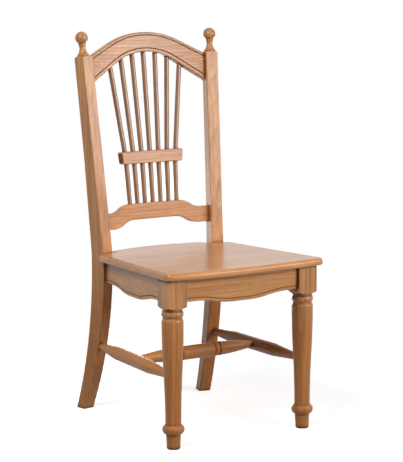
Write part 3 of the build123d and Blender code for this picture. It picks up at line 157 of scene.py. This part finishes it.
class TimberSettings(PropertyGroup):
    """Colours and grain of the chair's timber."""

    pale: FloatVectorProperty(
        name="Pale Wood",
        description="Colour of the early wood under the clear finish",
        subtype="COLOR",
        size=4,
        min=0.0,
        max=1.0,
        default=(0.79, 0.39, 0.132, 1.0),
    )
    deep: FloatVectorProperty(
        name="Deep Wood",
        description="Colour of the late wood and of darker boards",
        subtype="COLOR",
        size=4,
        min=0.0,
        max=1.0,
        default=(0.375, 0.14, 0.028, 1.0),
    )
    warm: FloatVectorProperty(
        name="Warm Wood",
        description="Colour of the redder patches in the timber",
        subtype="COLOR",
        size=4,
        min=0.0,
        max=1.0,
        default=(0.55, 0.205, 0.05, 1.0),
    )
    # Painted shade: this darker, redder colour stands in for the shade under the seat towards the
    # floor
    low: FloatVectorProperty(
        name="Low Wood",
        description="Darker colour that the timber takes on towards the floor",
        subtype="COLOR",
        size=4,
        min=0.0,
        max=1.0,
        default=(0.48, 0.165, 0.045, 1.0),
    )
    streak: FloatVectorProperty(
        name="Pore Lines",
        description="Colour of the fine open pores and of stained end grain",
        subtype="COLOR",
        size=4,
        min=0.0,
        max=1.0,
        default=(0.25, 0.082, 0.02, 1.0),
    )
    # Also the colour of the painted shade in grooves, under the seat and where pieces meet
    glaze_and_shade: FloatVectorProperty(
        name="Glaze And Shade",
        description="Colour of the stain that gathers in grooves and corners",
        subtype="COLOR",
        size=4,
        min=0.0,
        max=1.0,
        default=(0.17, 0.056, 0.015, 1.0),
    )
    light_pale: FloatVectorProperty(
        name="Pale Light Board",
        description="Colour of the early wood on the aprons and stretchers, a lighter board",
        subtype="COLOR",
        size=4,
        min=0.0,
        max=1.0,
        default=(0.94, 0.49, 0.19, 1.0),
    )
    light_deep: FloatVectorProperty(
        name="Deep Light Board",
        description="Colour of the late wood on the aprons and stretchers",
        subtype="COLOR",
        size=4,
        min=0.0,
        max=1.0,
        default=(0.47, 0.185, 0.045, 1.0),
    )
    seat_pale: FloatVectorProperty(
        name="Pale Seat",
        description="Colour of the early wood on the seat, an even, redder board",
        subtype="COLOR",
        size=4,
        min=0.0,
        max=1.0,
        default=(0.78, 0.35, 0.105, 1.0),
    )
    seat_deep: FloatVectorProperty(
        name="Deep Seat",
        description="Colour of the late wood on the seat",
        subtype="COLOR",
        size=4,
        min=0.0,
        max=1.0,
        default=(0.47, 0.172, 0.036, 1.0),
    )
    # Painted shade: the spindles' darker copy of the timber stands in for the shade they lie in
    shaded_spindle_pale: FloatVectorProperty(
        name="Pale Spindle",
        description="Colour of the early wood on the spindles, which took more of the stain",
        subtype="COLOR",
        size=4,
        min=0.0,
        max=1.0,
        default=(0.35, 0.155, 0.05, 1.0),
    )
    shaded_spindle_deep: FloatVectorProperty(
        name="Deep Spindle",
        description="Colour of the late wood on the spindles",
        subtype="COLOR",
        size=4,
        min=0.0,
        max=1.0,
        default=(0.19, 0.07, 0.02, 1.0),
    )
    bare: FloatVectorProperty(
        name="Bare Wood",
        description="Colour of the unfinished corner blocks",
        subtype="COLOR",
        size=4,
        min=0.0,
        max=1.0,
        default=(0.70, 0.47, 0.27, 1.0),
    )
    ring_spacing: FloatProperty(
        name="Ring Spacing",
        description="Distance between growth rings",
        subtype="DISTANCE",
        unit="LENGTH",
        min=0.001,
        default=0.009,
    )
    # Also how far the painted shade reaches out from grooves and joins between pieces
    glaze_and_shade_reach: FloatProperty(
        name="Glaze Reach",
        description="How far out of a groove the gathered stain still shows",
        subtype="DISTANCE",
        unit="LENGTH",
        min=0.001,
        default=0.010,
    )
    # Painted contact shadow: the feet are darkened this far up from the floor
    foot_shadow_height: FloatProperty(
        name="Grime Height",
        description="How high up from the floor the feet are darkened",
        subtype="DISTANCE",
        unit="LENGTH",
        min=0.001,
        default=0.012,
    )
    # Below this height the finish is dulled, and painted shade darkens the wood towards the floor
    dull_and_shade_below: FloatProperty(
        name="Dull Below",
        description="Height above the floor under which shoes and brooms have dulled the finish",
        subtype="DISTANCE",
        unit="LENGTH",
        min=0.05,
        default=0.46,
    )


class StageSettings(PropertyGroup):
    """Floor, lamps and camera."""

    floor: FloatVectorProperty(
        name="Floor",
        description="Colour of the plain floor",
        subtype="COLOR",
        size=4,
        min=0.0,
        max=1.0,
        default=(0.86, 0.86, 0.86, 1.0),
    )
    floor_bounce: FloatVectorProperty(
        name="Floor Bounce",
        description="Colour that the floor has for the light it throws back at the chair",
        subtype="COLOR",
        size=4,
        min=0.0,
        max=1.0,
        default=(0.16, 0.155, 0.15, 1.0),
    )
    floor_lift: FloatProperty(
        name="Floor Lift",
        description="Light of the floor's own that brings it up to white where no shadow falls",
        subtype="FACTOR",
        min=0.0,
        max=1.0,
        default=0.68,
    )
    floor_radius: FloatProperty(
        name="Floor Radius",
        description="Reach of the round floor",
        subtype="DISTANCE",
        unit="LENGTH",
        min=1.0,
        default=9.0,
    )
    shadow_start: FloatProperty(
        name="Shadow Start",
        description="Distance from the chair's middle at which its shadow begins to fade",
        subtype="DISTANCE",
        unit="LENGTH",
        min=0.1,
        default=0.45,
    )
    shadow_end: FloatProperty(
        name="Shadow End",
        description="Distance from the chair's middle at which the floor is plain white",
        subtype="DISTANCE",
        unit="LENGTH",
        min=0.2,
        default=1.6,
    )
    sky: FloatProperty(
        name="Sky",
        description="Strength of the even light from all round",
        min=0.0,
        default=0.07,
    )
    overhead: FloatProperty(
        name="Overhead Lamp",
        description="Power of the large lamp high up at the front left",
        subtype="POWER",
        unit="POWER",
        min=0.0,
        default=47.0,
    )
    front: FloatProperty(
        name="Front Lamp",
        description="Power of the lamp at eye level at the front right",
        subtype="POWER",
        unit="POWER",
        min=0.0,
        default=18.0,
    )
    back: FloatProperty(
        name="Back Lamp",
        description="Power of the low lamp behind the chair, which lights its back",
        subtype="POWER",
        unit="POWER",
        min=0.0,
        default=38.0,
    )
    eye: FloatVectorProperty(
        name="Camera Place",
        description="Where the camera stands",
        subtype="TRANSLATION",
        unit="LENGTH",
        size=3,
        default=(-2.39297, -4.03319, 1.22846),
    )
    yaw: FloatProperty(
        name="Yaw",
        description="How far the camera is turned from straight ahead to the right",
        subtype="ANGLE",
        unit="ROTATION",
        default=radians(30.95),
    )
    pitch: FloatProperty(
        name="Pitch",
        description="How far the camera looks down",
        subtype="ANGLE",
        unit="ROTATION",
        default=radians(8.70),
    )
    roll: FloatProperty(
        name="Roll",
        description="How far the camera leans to its side",
        subtype="ANGLE",
        unit="ROTATION",
        default=radians(-0.35),
    )
    lens: FloatProperty(
        name="Lens",
        description="Focal length of the camera, in millimetres",
        unit="CAMERA",
        min=10.0,
        default=139.71,
    )


def add_node(tree, kind, spot, inputs=None, **settings):
    """Adds a shader node, sets it up and links or fills its inputs."""
    made = tree.nodes.new(kind)
    made.location = spot
    for name, value in settings.items():
        setattr(made, name, value)
    for key, value in (inputs or {}).items():
        if isinstance(value, bpy.types.NodeSocket):
            tree.links.new(value, made.inputs[key])
        else:
            made.inputs[key].default_value = value
    return made


def calculate(tree, spot, operation, first, second=0.0, clamp=False):
    """Adds a Math node and gives its result."""
    made = add_node(
        tree,
        "ShaderNodeMath",
        spot,
        {0: first, 1: second},
        operation=operation,
        use_clamp=clamp,
    )
    return made.outputs[0]


def reckon(tree, spot, operation, first, second):
    """Adds a Vector Math node and gives its outputs."""
    inputs = {0: first, 1: second}
    return add_node(tree, "ShaderNodeVectorMath", spot, inputs, operation=operation).outputs


# A Mix node has several sockets of each name, one for each type of data, so they go by number
def blend_values(tree, spot, factor, first, second):
    """Adds a Mix node for two numbers and gives its result."""
    inputs = {0: factor, 2: first, 3: second}
    return add_node(tree, "ShaderNodeMix", spot, inputs, data_type="FLOAT").outputs[0]


def blend_colours(tree, spot, factor, first, second):
    """Adds a Mix node for two colours and gives its result."""
    inputs = {0: factor, 6: first, 7: second}
    return add_node(tree, "ShaderNodeMix", spot, inputs, data_type="RGBA").outputs[2]


def noise(tree, spot, vector, scale, detail, roughness):
    """Adds a Noise texture and gives its value."""
    inputs = {"Vector": vector, "Scale": scale, "Detail": detail, "Roughness": roughness}
    return add_node(tree, "ShaderNodeTexNoise", spot, inputs).outputs[0]


def band_of(tree, spot, value, low, high):
    """Maps a value from low to high onto 0 to 1, with soft ends."""
    made = add_node(
        tree,
        "ShaderNodeMapRange",
        spot,
        {"Value": value, "From Min": low, "From Max": high},
        interpolation_type="SMOOTHSTEP",
    )
    return made.outputs[0]


def pattern_mask(tree, row, along, pattern):
    """Lays a pattern along the grain and gives where it shows, from 0 to 1."""
    drawn_out = reckon(tree, (-1000, row), "MULTIPLY", along, pattern.scale)[0]
    value = noise(tree, (-800, row), drawn_out, 1.0, pattern.detail, pattern.roughness)
    return band_of(tree, (-600, row), value, pattern.start, pattern.full)


def growth_rings(tree, along, spacing):
    """Rings of a log whose heart lies outside the piece, so they cross it as long flat arcs."""
    long_grain = reckon(tree, (-1200, 300), "MULTIPLY", along, RING_STRETCH)[0]
    off_heart = reckon(tree, (-1000, 300), "ADD", long_grain, HEART_OFFSET)[0]
    scale = calculate(tree, (-1000, 480), "DIVIDE", WAVE_LENGTH, spacing)
    made = add_node(
        tree,
        "ShaderNodeTexWave",
        (-800, 360),
        {"Vector": off_heart, "Scale": scale, **RING_WAVER},
        wave_type="RINGS",
        rings_direction="X",
        wave_profile="SAW",
    )
    return made.outputs["Fac"]


def grain_group():
    """Shader group for timber: rings, fibres, pores, gathered glazing and painted shade, with x
    along the grain.
    """
    found = bpy.data.node_groups.get("chair_grain")
    if found:
        return found
    tree = bpy.data.node_groups.new("chair_grain", "ShaderNodeTree")
    for way, sockets in (("INPUT", GRAIN_INPUTS), ("OUTPUT", GRAIN_OUTPUTS)):
        for kind, names in sockets.items():
            for name in names:
                tree.interface.new_socket(name, in_out=way, socket_type=kind)
    given = add_node(tree, "NodeGroupInput", (-1400, 0)).outputs
    along = given["Along Grain"]

    rings = growth_rings(tree, along, given["Ring Spacing"])
    bands = pattern_mask(tree, 660, along, BANDS)
    fibres = pattern_mask(tree, 60, along, FIBRES)
    tone = pattern_mask(tree, -160, along, TONE)
    pores = pattern_mask(tree, -380, along, PORES)
    blush = pattern_mask(tree, -800, along, BLUSH)

    # How deep the colour is: rings and bands, broad tone and fibres together
    ring_part = calculate(tree, (-400, 360), "MULTIPLY", rings, given["Figure"])
    band_part = calculate(tree, (-400, 660), "MULTIPLY", bands, BAND_DEPTH)
    tone_part = calculate(tree, (-400, -160), "MULTIPLY", tone, TONE_DEPTH)
    fibre_part = calculate(tree, (-400, 60), "MULTIPLY", fibres, FIBRE_DEPTH)
    broad_part = calculate(tree, (-300, 400), "ADD", ring_part, band_part)
    fine_part = calculate(tree, (-300, 0), "ADD", tone_part, fibre_part)
    depth = calculate(tree, (-200, 200), "ADD", broad_part, fine_part, clamp=True)
    plain = blend_colours(tree, (-100, 300), depth, given["Pale"], given["Deep"])

    # Redder patches, painted shade that darkens the wood near the floor, and the lines of the
    # pores
    blush_share = calculate(tree, (-400, -800), "MULTIPLY", blush, BLUSH_COVER)
    blushed = blend_colours(tree, (0, 200), blush_share, plain, given["Warm"])
    low_shade = calculate(tree, (0, 0), "SUBTRACT", 1.0, given["Polish"], clamp=True)
    low_shade_share = calculate(tree, (100, 0), "MULTIPLY", low_shade, LOW_SHADE_COVER)
    aged = blend_colours(tree, (150, 200), low_shade_share, blushed, given["Low"])
    pore_share = calculate(tree, (-200, -380), "MULTIPLY", pores, given["Pores"])
    lined = blend_colours(tree, (200, 120), pore_share, aged, given["Streak"])

    # End grain drinks more stain
    facing = reckon(tree, (-400, 900), "DOT_PRODUCT", given["Facing"], given["Grain Axis"])
    squarely = calculate(tree, (-200, 900), "ABSOLUTE", facing["Value"])
    end_on = band_of(tree, (0, 900), squarely, END_START, END_FULL)
    end_share = calculate(tree, (200, 900), "MULTIPLY", end_on, given["End Stain"])
    ended = blend_colours(tree, (300, 400), end_share, lined, given["Streak"])

    # Glaze and painted shade lie where the surface is closed in, in grooves and between pieces,
    # and a painted contact shadow on the feet
    closed = calculate(tree, (-200, -600), "SUBTRACT", 1.0, given["Openness"], clamp=True)
    settled = band_of(tree, (0, -600), closed, GLAZE_AND_SHADE_START, GLAZE_AND_SHADE_FULL)
    gathered = calculate(tree, (100, -700), "MULTIPLY", settled, given["Gathered"], clamp=True)
    glaze_and_shade_share = calculate(tree, (200, -600), "MAXIMUM", gathered, given["Foot Shadow"])
    glazed_and_shaded = blend_colours(tree, (400, 120), glaze_and_shade_share, ended, given["Glaze And Shade"])

    # The clear coat thins out over glaze, painted shade and end grain and where the finish is
    # dulled
    soaked = calculate(tree, (300, -700), "MAXIMUM", glaze_and_shade_share, end_share)
    clear = calculate(tree, (400, -600), "SUBTRACT", 1.0, soaked, clamp=True)
    shine = calculate(tree, (600, -600), "MULTIPLY", clear, given["Polish"])
    coat = calculate(tree, (800, -600), "MULTIPLY", shine, given["Base Coat"])
    dull = calculate(tree, (200, -200), "MULTIPLY", fibres, FIBRE_ROUGHNESS)
    dry = calculate(tree, (400, -300), "MULTIPLY", soaked, SOAKED_ROUGHNESS)
    grained = calculate(tree, (400, -200), "ADD", given["Base Roughness"], dull)
    rough = calculate(tree, (600, -200), "ADD", grained, dry)

    # Fibres stand up and pores are sunk
    sunk = calculate(tree, (200, -380), "MULTIPLY", pore_share, PORE_SINK)
    height = calculate(tree, (400, -380), "SUBTRACT", fibre_part, sunk)
    add_node(
        tree,
        "NodeGroupOutput",
        (1000, 0),
        {"Color": glazed_and_shaded, "Roughness": rough, "Coat": coat, "Height": height},
    )
    return tree


def empty_material(name):
    """Makes a material with no nodes yet and gives it and its tree."""
    material = bpy.data.materials.new(name)
    material.use_nodes = True
    material.node_tree.nodes.clear()
    return material, material.node_tree


def timber(
    name,
    grain_way,
    shift,
    figure,
    gathered,
    colours=None,
    pores=0.5,
    roughness=0.38,
    coat=0.65,
    end_stain=0.6,
):
    """Timber material whose grain runs the way that grain_way gives.

    shift is the place in the log that the piece is cut from, figure how strongly the rings show,
    gathered how much glazing and painted shade lie in the grooves and where pieces meet, and
    colours the pale and deep wood of a board of its own, which has no redder patches. A coat of 0
    leaves the wood bare.
    """
    wood = bpy.context.scene.chair_timber
    pale, deep = colours or (wood.pale, wood.deep)
    material, tree = empty_material(name)
    found = add_node(tree, "ShaderNodeTexCoord", (-900, 0)).outputs
    place = found["Object"]
    height = add_node(tree, "ShaderNodeSeparateXYZ", (-700, 300), {0: place}).outputs["Z"]
    # Painted shade: below the dulled height the wood is darkened towards the floor
    polish = band_of(tree, (-700, 500), height, ALL_DULL * wood.dull_and_shade_below, wood.dull_and_shade_below)
    # Painted contact shadow: the wood just above the floor is darkened
    low_down = band_of(tree, (-700, 700), height, wood.foot_shadow_height, 0.0)
    foot_shadow = calculate(tree, (-500, 700), "MULTIPLY", low_down, FOOT_SHADOW_COVER)
    along = add_node(
        tree,
        "ShaderNodeMapping",
        (-700, 0),
        {"Vector": place, "Location": shift, "Rotation": grain_way.turn},
        vector_type="POINT",
    ).outputs[0]
    # Painted shade: ambient occlusion over all pieces lays the glaze colour in grooves and where
    # pieces meet
    openness = add_node(
        tree,
        "ShaderNodeAmbientOcclusion",
        (-700, -300),
        {"Distance": wood.glaze_and_shade_reach},
        samples=GLAZE_AND_SHADE_SAMPLES,
        only_local=False,
    ).outputs["AO"]
    grain = add_node(
        tree,
        "ShaderNodeGroup",
        (-400, 0),
        {
            "Along Grain": along,
            "Facing": found["Normal"],
            "Grain Axis": grain_way.axis,
            "Pale": pale,
            "Deep": deep,
            "Warm": deep if colours else wood.warm,
            "Low": wood.low,
            "Streak": wood.streak,
            "Glaze And Shade": wood.glaze_and_shade,
            "Ring Spacing": wood.ring_spacing,
            "Figure": figure,
            "Pores": pores,
            "End Stain": end_stain,
            "Openness": openness,
            "Gathered": gathered,
            "Foot Shadow": foot_shadow,
            "Polish": polish,
            "Base Roughness": roughness,
            "Base Coat": coat,
        },
        node_tree=grain_group(),
    ).outputs
    relief = add_node(
        tree,
        "ShaderNodeBump",
        (-150, -250),
        {"Strength": RELIEF_STRENGTH, "Distance": RELIEF_DEPTH, "Height": grain["Height"]},
    ).outputs[0]
    finish = add_node(
        tree,
        "ShaderNodeBsdfPrincipled",
        (100, 0),
        {
            "Base Color": grain["Color"],
            "Roughness": grain["Roughness"],
            "Normal": relief,
            "Specular IOR Level": SPECULAR,
            "Coat Weight": grain["Coat"] if coat else 0.0,
            "Coat Roughness": COAT_ROUGHNESS,
        },
    ).outputs[0]
    add_node(tree, "ShaderNodeOutputMaterial", (400, 0), {"Surface": finish})
    return material


def dress(names, material):
    """Gives CAD nodes a material."""
    for name in names:
        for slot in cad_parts[name].material_slots:
            slot.material = material


class CHAIR_OT_posts(Operator):
    """Finish the two rear posts, sawn from straight planks"""

    bl_idname = "chair.posts"
    bl_label = "Rear Posts"

    def execute(self, context):
        plank = timber(
            "post_timber", ALONG_Z, shift=(0.31, 0.12, 0.02), figure=0.22, gathered=0.7
        )
        dress(POSTS, plank)
        return {"FINISHED"}


class CHAIR_OT_finials(Operator):
    """Finish the ball finials on the posts"""

    bl_idname = "chair.finials"
    bl_label = "Finials"

    def execute(self, context):
        turning = timber(
            "finial_timber",
            ALONG_Z,
            shift=(0.05, 0.21, 0.13),
            figure=0.32,
            gathered=1.4,
            end_stain=0.3,
        )
        dress(FINIALS, turning)
        return {"FINISHED"}


class CHAIR_OT_rails(Operator):
    """Finish the crest rail, the lower back rail and the tie bar"""

    bl_idname = "chair.rails"
    bl_label = "Back Rails"

    def execute(self, context):
        crest = timber(
            "crest_timber",
            ALONG_X,
            shift=(0.17, 0.03, 0.09),
            figure=0.46,
            gathered=1.2,
            coat=0.45,
        )
        lower_rail = timber(
            "lower_rail_timber", ALONG_X, shift=(0.41, 0.07, 0.33), figure=0.30, gathered=0.7
        )
        tie = timber(
            "tie_timber",
            ALONG_X,
            shift=(0.63, 0.15, 0.05),
            figure=0.22,
            gathered=0.7,
            end_stain=1.0,
        )
        dress(("crest_rail",), crest)
        dress(("lower_back_rail",), lower_rail)
        dress(("tie_bar",), tie)
        return {"FINISHED"}


class CHAIR_OT_spindles(Operator):
    """Finish the fourteen spindles"""

    bl_idname = "chair.spindles"
    bl_label = "Spindles"

    def execute(self, context):
        wood = context.scene.chair_timber
        # Painted shade: a darker copy of the timber stands in for the shade on the spindles
        rod = timber(
            "spindle_timber",
            ALONG_Z,
            shift=(0.11, 0.4, 0.27),
            figure=0.30,
            gathered=0.7,
            colours=(wood.shaded_spindle_pale, wood.shaded_spindle_deep),
            coat=1.0,
        )
        dress(UPPER_SPINDLES + LOWER_SPINDLES, rod)
        return {"FINISHED"}


class CHAIR_OT_seat(Operator):
    """Finish the solid seat"""

    bl_idname = "chair.seat"
    bl_label = "Seat"

    def execute(self, context):
        wood = context.scene.chair_timber
        board = timber(
            "seat_timber",
            ALONG_X,
            shift=(0.2, 0.05, 0.3),
            figure=0.2,
            gathered=0.5,
            colours=(wood.seat_pale, wood.seat_deep),
            pores=0.4,
            roughness=0.3,
            coat=0.52,
            end_stain=0.1,
        )
        dress(("seat",), board)
        return {"FINISHED"}


class CHAIR_OT_aprons(Operator):
    """Finish the aprons under the seat"""

    bl_idname = "chair.aprons"
    bl_label = "Aprons"

    def execute(self, context):
        wood = context.scene.chair_timber
        board = {
            "figure": 0.2,
            "gathered": 1.1,
            "colours": (wood.light_pale, wood.light_deep),
            "coat": 0.4,
        }
        cross = timber("cross_apron_timber", ALONG_X, shift=(0.07, 0.19, 0.21), **board)
        side = timber("side_apron_timber", ALONG_Y, shift=(0.27, 0.11, 0.15), **board)
        dress(CROSS_APRONS, cross)
        dress(SIDE_APRONS, side)
        return {"FINISHED"}


class CHAIR_OT_legs(Operator):
    """Finish the turned front legs"""

    bl_idname = "chair.legs"
    bl_label = "Front Legs"

    def execute(self, context):
        turning = timber(
            "leg_timber", ALONG_Z, shift=(0.09, 0.02, 0.17), figure=0.36, gathered=2.6
        )
        dress(LEGS, turning)
        return {"FINISHED"}


class CHAIR_OT_stretchers(Operator):
    """Finish the three stretchers"""

    bl_idname = "chair.stretchers"
    bl_label = "Stretchers"

    def execute(self, context):
        wood = context.scene.chair_timber
        board = {
            "figure": 0.1,
            "gathered": 2.2,
            "colours": (wood.light_pale, wood.light_deep),
        }
        side = timber("side_stretcher_timber", ALONG_Y, shift=(0.13, 0.23, 0.07), **board)
        center = timber("center_stretcher_timber", ALONG_X, shift=(0.03, 0.29, 0.2), **board)
        dress(SIDE_STRETCHERS, side)
        dress(("center_stretcher",), center)
        return {"FINISHED"}


class CHAIR_OT_blocks(Operator):
    """Finish the corner blocks, left bare under the seat"""

    bl_idname = "chair.blocks"
    bl_label = "Corner Blocks"

    def execute(self, context):
        wood = context.scene.chair_timber
        offcut = timber(
            "block_timber",
            ALONG_Y,
            shift=(0.3, 0.3, 0.1),
            figure=0.25,
            gathered=0.0,
            colours=(wood.bare, wood.pale),
            pores=0.4,
            roughness=0.6,
            coat=0.0,
        )
        dress(BLOCKS, offcut)
        return {"FINISHED"}


class CHAIR_OT_screws(Operator):
    """Finish the screws in the corner blocks"""

    bl_idname = "chair.screws"
    bl_label = "Screws"

    def execute(self, context):
        material, tree = empty_material("screw_steel")
        place = add_node(tree, "ShaderNodeTexCoord", (-700, 0)).outputs["Object"]
        mottle = noise(tree, (-500, 0), place, **STEEL_MOTTLE)
        colour = blend_colours(tree, (-250, 100), mottle, STEEL_DARK, STEEL_BRIGHT)
        rough = band_of(tree, (-250, -150), mottle, 0.0, STEEL_ROUGH_AT)
        steel = add_node(
            tree,
            "ShaderNodeBsdfPrincipled",
            (0, 0),
            {"Base Color": colour, "Roughness": rough, "Metallic": 1.0},
        ).outputs[0]
        add_node(tree, "ShaderNodeOutputMaterial", (300, 0), {"Surface": steel})
        dress(SCREWS, material)
        return {"FINISHED"}


def lamp(name, power, size, place, target, spread=pi):
    """Soft oblong lamp that points at a target, its beam held in where spread is small."""
    data = bpy.data.lights.new(name, "AREA")
    data.energy = power
    data.shape = "RECTANGLE"
    data.size, data.size_y = size
    data.spread = spread
    made = bpy.data.objects.new(name, data)
    made.location = place
    made.rotation_euler = (Vector(target) - Vector(place)).to_track_quat("-Z", "Y").to_euler()
    bpy.context.scene.collection.objects.link(made)


def seen_by_eye_or_mirror(tree, spot):
    """1 for rays from the camera and for reflections, else 0."""
    across, up = spot
    path = add_node(tree, "ShaderNodeLightPath", spot).outputs
    eye_or_gloss = calculate(
        tree, (across + 200, up), "MAXIMUM", path["Is Camera Ray"], path["Is Glossy Ray"]
    )
    return calculate(
        tree, (across + 400, up), "MAXIMUM", eye_or_gloss, path["Is Transmission Ray"]
    )


class CHAIR_OT_stage(Operator):
    """Lay the floor, hang the lamps and place the camera"""

    bl_idname = "chair.stage"
    bl_label = "Stage"

    def execute(self, context):
        stage = context.scene.chair_stage
        self.lay_floor(context, stage)
        self.light_sky(context, stage)
        self.hang_lamps(stage)
        self.place_camera(context, stage)
        context.scene.view_settings.view_transform = "Standard"
        return {"FINISHED"}

    def lay_floor(self, context, stage):
        """Round pale floor under the chair, which keeps its shadow."""
        disc = bmesh.new()
        bmesh.ops.create_circle(
            disc, cap_ends=True, segments=FLOOR_SEGMENTS, radius=stage.floor_radius
        )
        mesh = bpy.data.meshes.new("studio_floor")
        disc.to_mesh(mesh)
        disc.free()
        floor = bpy.data.objects.new("studio_floor", mesh)
        context.scene.collection.objects.link(floor)
        mesh.materials.append(self.floor_material(stage))

    def floor_material(self, stage):
        """White to the eye with a soft shadow, darker for the light it throws on the chair."""
        material, tree = empty_material("studio_floor")
        place = add_node(tree, "ShaderNodeTexCoord", (-1400, 200)).outputs["Object"]
        away = add_node(
            tree, "ShaderNodeVectorMath", (-1200, 200), {0: place}, operation="LENGTH"
        ).outputs["Value"]
        far = band_of(tree, (-1000, 200), away, stage.shadow_start, stage.shadow_end)
        seen = seen_by_eye_or_mirror(tree, (-1400, -200))
        shaded = blend_colours(tree, (-700, 300), far, stage.floor, BLACK)
        colour = blend_colours(tree, (-400, 200), seen, stage.floor_bounce, shaded)
        lift = blend_values(tree, (-700, 0), far, stage.floor_lift, 1.0)
        strength = calculate(tree, (-400, -100), "MULTIPLY", seen, lift)
        matte = add_node(tree, "ShaderNodeBsdfDiffuse", (0, 100), {"Color": colour}).outputs[0]
        glow = add_node(tree, "ShaderNodeEmission", (0, -100), {"Strength": strength}).outputs[0]
        both = add_node(tree, "ShaderNodeAddShader", (200, 0), {0: matte, 1: glow}).outputs[0]
        add_node(tree, "ShaderNodeOutputMaterial", (400, 0), {"Surface": both})
        return material

    def light_sky(self, context, stage):
        """Even light from all round, white where the camera or a reflection sees it."""
        world = bpy.data.worlds.new("studio")
        world.use_nodes = True
        tree = world.node_tree
        tree.nodes.clear()
        seen = seen_by_eye_or_mirror(tree, (-900, 0))
        strength = blend_values(tree, (-250, 0), seen, stage.sky, 1.0)
        glow = add_node(
            tree, "ShaderNodeBackground", (0, 0), {"Color": WHITE, "Strength": strength}
        ).outputs[0]
        add_node(tree, "ShaderNodeOutputWorld", (300, 0), {"Surface": glow})
        context.scene.world = world

    def hang_lamps(self, stage):
        """Three soft lamps: high at the front left, at the front right, and low behind."""
        lamp(
            "overhead_lamp",
            stage.overhead,
            size=(1.4, 1.4),
            place=(-1.8, -0.85, 2.45),
            target=(CAD_BOX[0] + CAD_BOX[1]) / 2,
        )
        lamp(
            "front_lamp",
            stage.front,
            size=(2.8, 1.0),
            place=(1.5, -2.55, 1.35),
            target=(0.0, 0.0, 0.85),
            spread=radians(80.0),
        )
        lamp(
            "back_lamp",
            stage.back,
            size=(2.4, 0.3),
            place=(1.35, 2.3, 0.19),
            target=(0.0, 0.2, 0.65),
        )

    def place_camera(self, context, stage):
        """Camera at the photograph's angle."""
        ahead = Vector(
            (
                sin(stage.yaw) * cos(stage.pitch),
                cos(stage.yaw) * cos(stage.pitch),
                -sin(stage.pitch),
            )
        )
        level = Vector((cos(stage.yaw), -sin(stage.yaw), 0.0))
        above = level.cross(ahead)
        right = level * cos(stage.roll) + above * sin(stage.roll)
        up = above * cos(stage.roll) - level * sin(stage.roll)
        data = bpy.data.cameras.new("camera")
        data.lens = stage.lens
        data.sensor_width = SENSOR_WIDTH
        camera = bpy.data.objects.new("camera", data)
        turned = Matrix((right, up, -ahead)).transposed().to_4x4()
        camera.matrix_world = Matrix.Translation(Vector(stage.eye)) @ turned
        context.scene.collection.objects.link(camera)
        context.scene.camera = camera


class CHAIR_PT_sidebar(Panel):
    """The chair's settings and steps"""

    bl_idname = "CHAIR_PT_sidebar"
    bl_label = "Dining Chair"
    bl_space_type = "VIEW_3D"
    bl_region_type = "UI"
    bl_category = "Chair"

    def draw(self, context):
        for title, settings in (
            ("Timber", context.scene.chair_timber),
            ("Stage", context.scene.chair_stage),
        ):
            box = self.layout.box()
            box.label(text=title)
            for name in type(settings).__annotations__:
                box.prop(settings, name)
        for step in STEPS:
            self.layout.operator(step.bl_idname)


STEPS = (
    CHAIR_OT_posts,
    CHAIR_OT_finials,
    CHAIR_OT_rails,
    CHAIR_OT_spindles,
    CHAIR_OT_seat,
    CHAIR_OT_aprons,
    CHAIR_OT_legs,
    CHAIR_OT_stretchers,
    CHAIR_OT_blocks,
    CHAIR_OT_screws,
    CHAIR_OT_stage,
)
CLASSES = (TimberSettings, StageSettings, *STEPS, CHAIR_PT_sidebar)


def register():
    for cls in CLASSES:
        bpy.utils.register_class(cls)
    bpy.types.Scene.chair_timber = PointerProperty(type=TimberSettings)
    bpy.types.Scene.chair_stage = PointerProperty(type=StageSettings)


def unregister():
    del bpy.types.Scene.chair_stage
    del bpy.types.Scene.chair_timber
    for cls in reversed(CLASSES):
        bpy.utils.unregister_class(cls)


def main():
    """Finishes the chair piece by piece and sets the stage."""
    register()
    bpy.ops.chair.posts()
    bpy.ops.chair.finials()
    bpy.ops.chair.rails()
    bpy.ops.chair.spindles()
    bpy.ops.chair.seat()
    bpy.ops.chair.aprons()
    bpy.ops.chair.legs()
    bpy.ops.chair.stretchers()
    bpy.ops.chair.blocks()
    bpy.ops.chair.screws()
    bpy.ops.chair.stage()


if __name__ == "__main__":
    main()
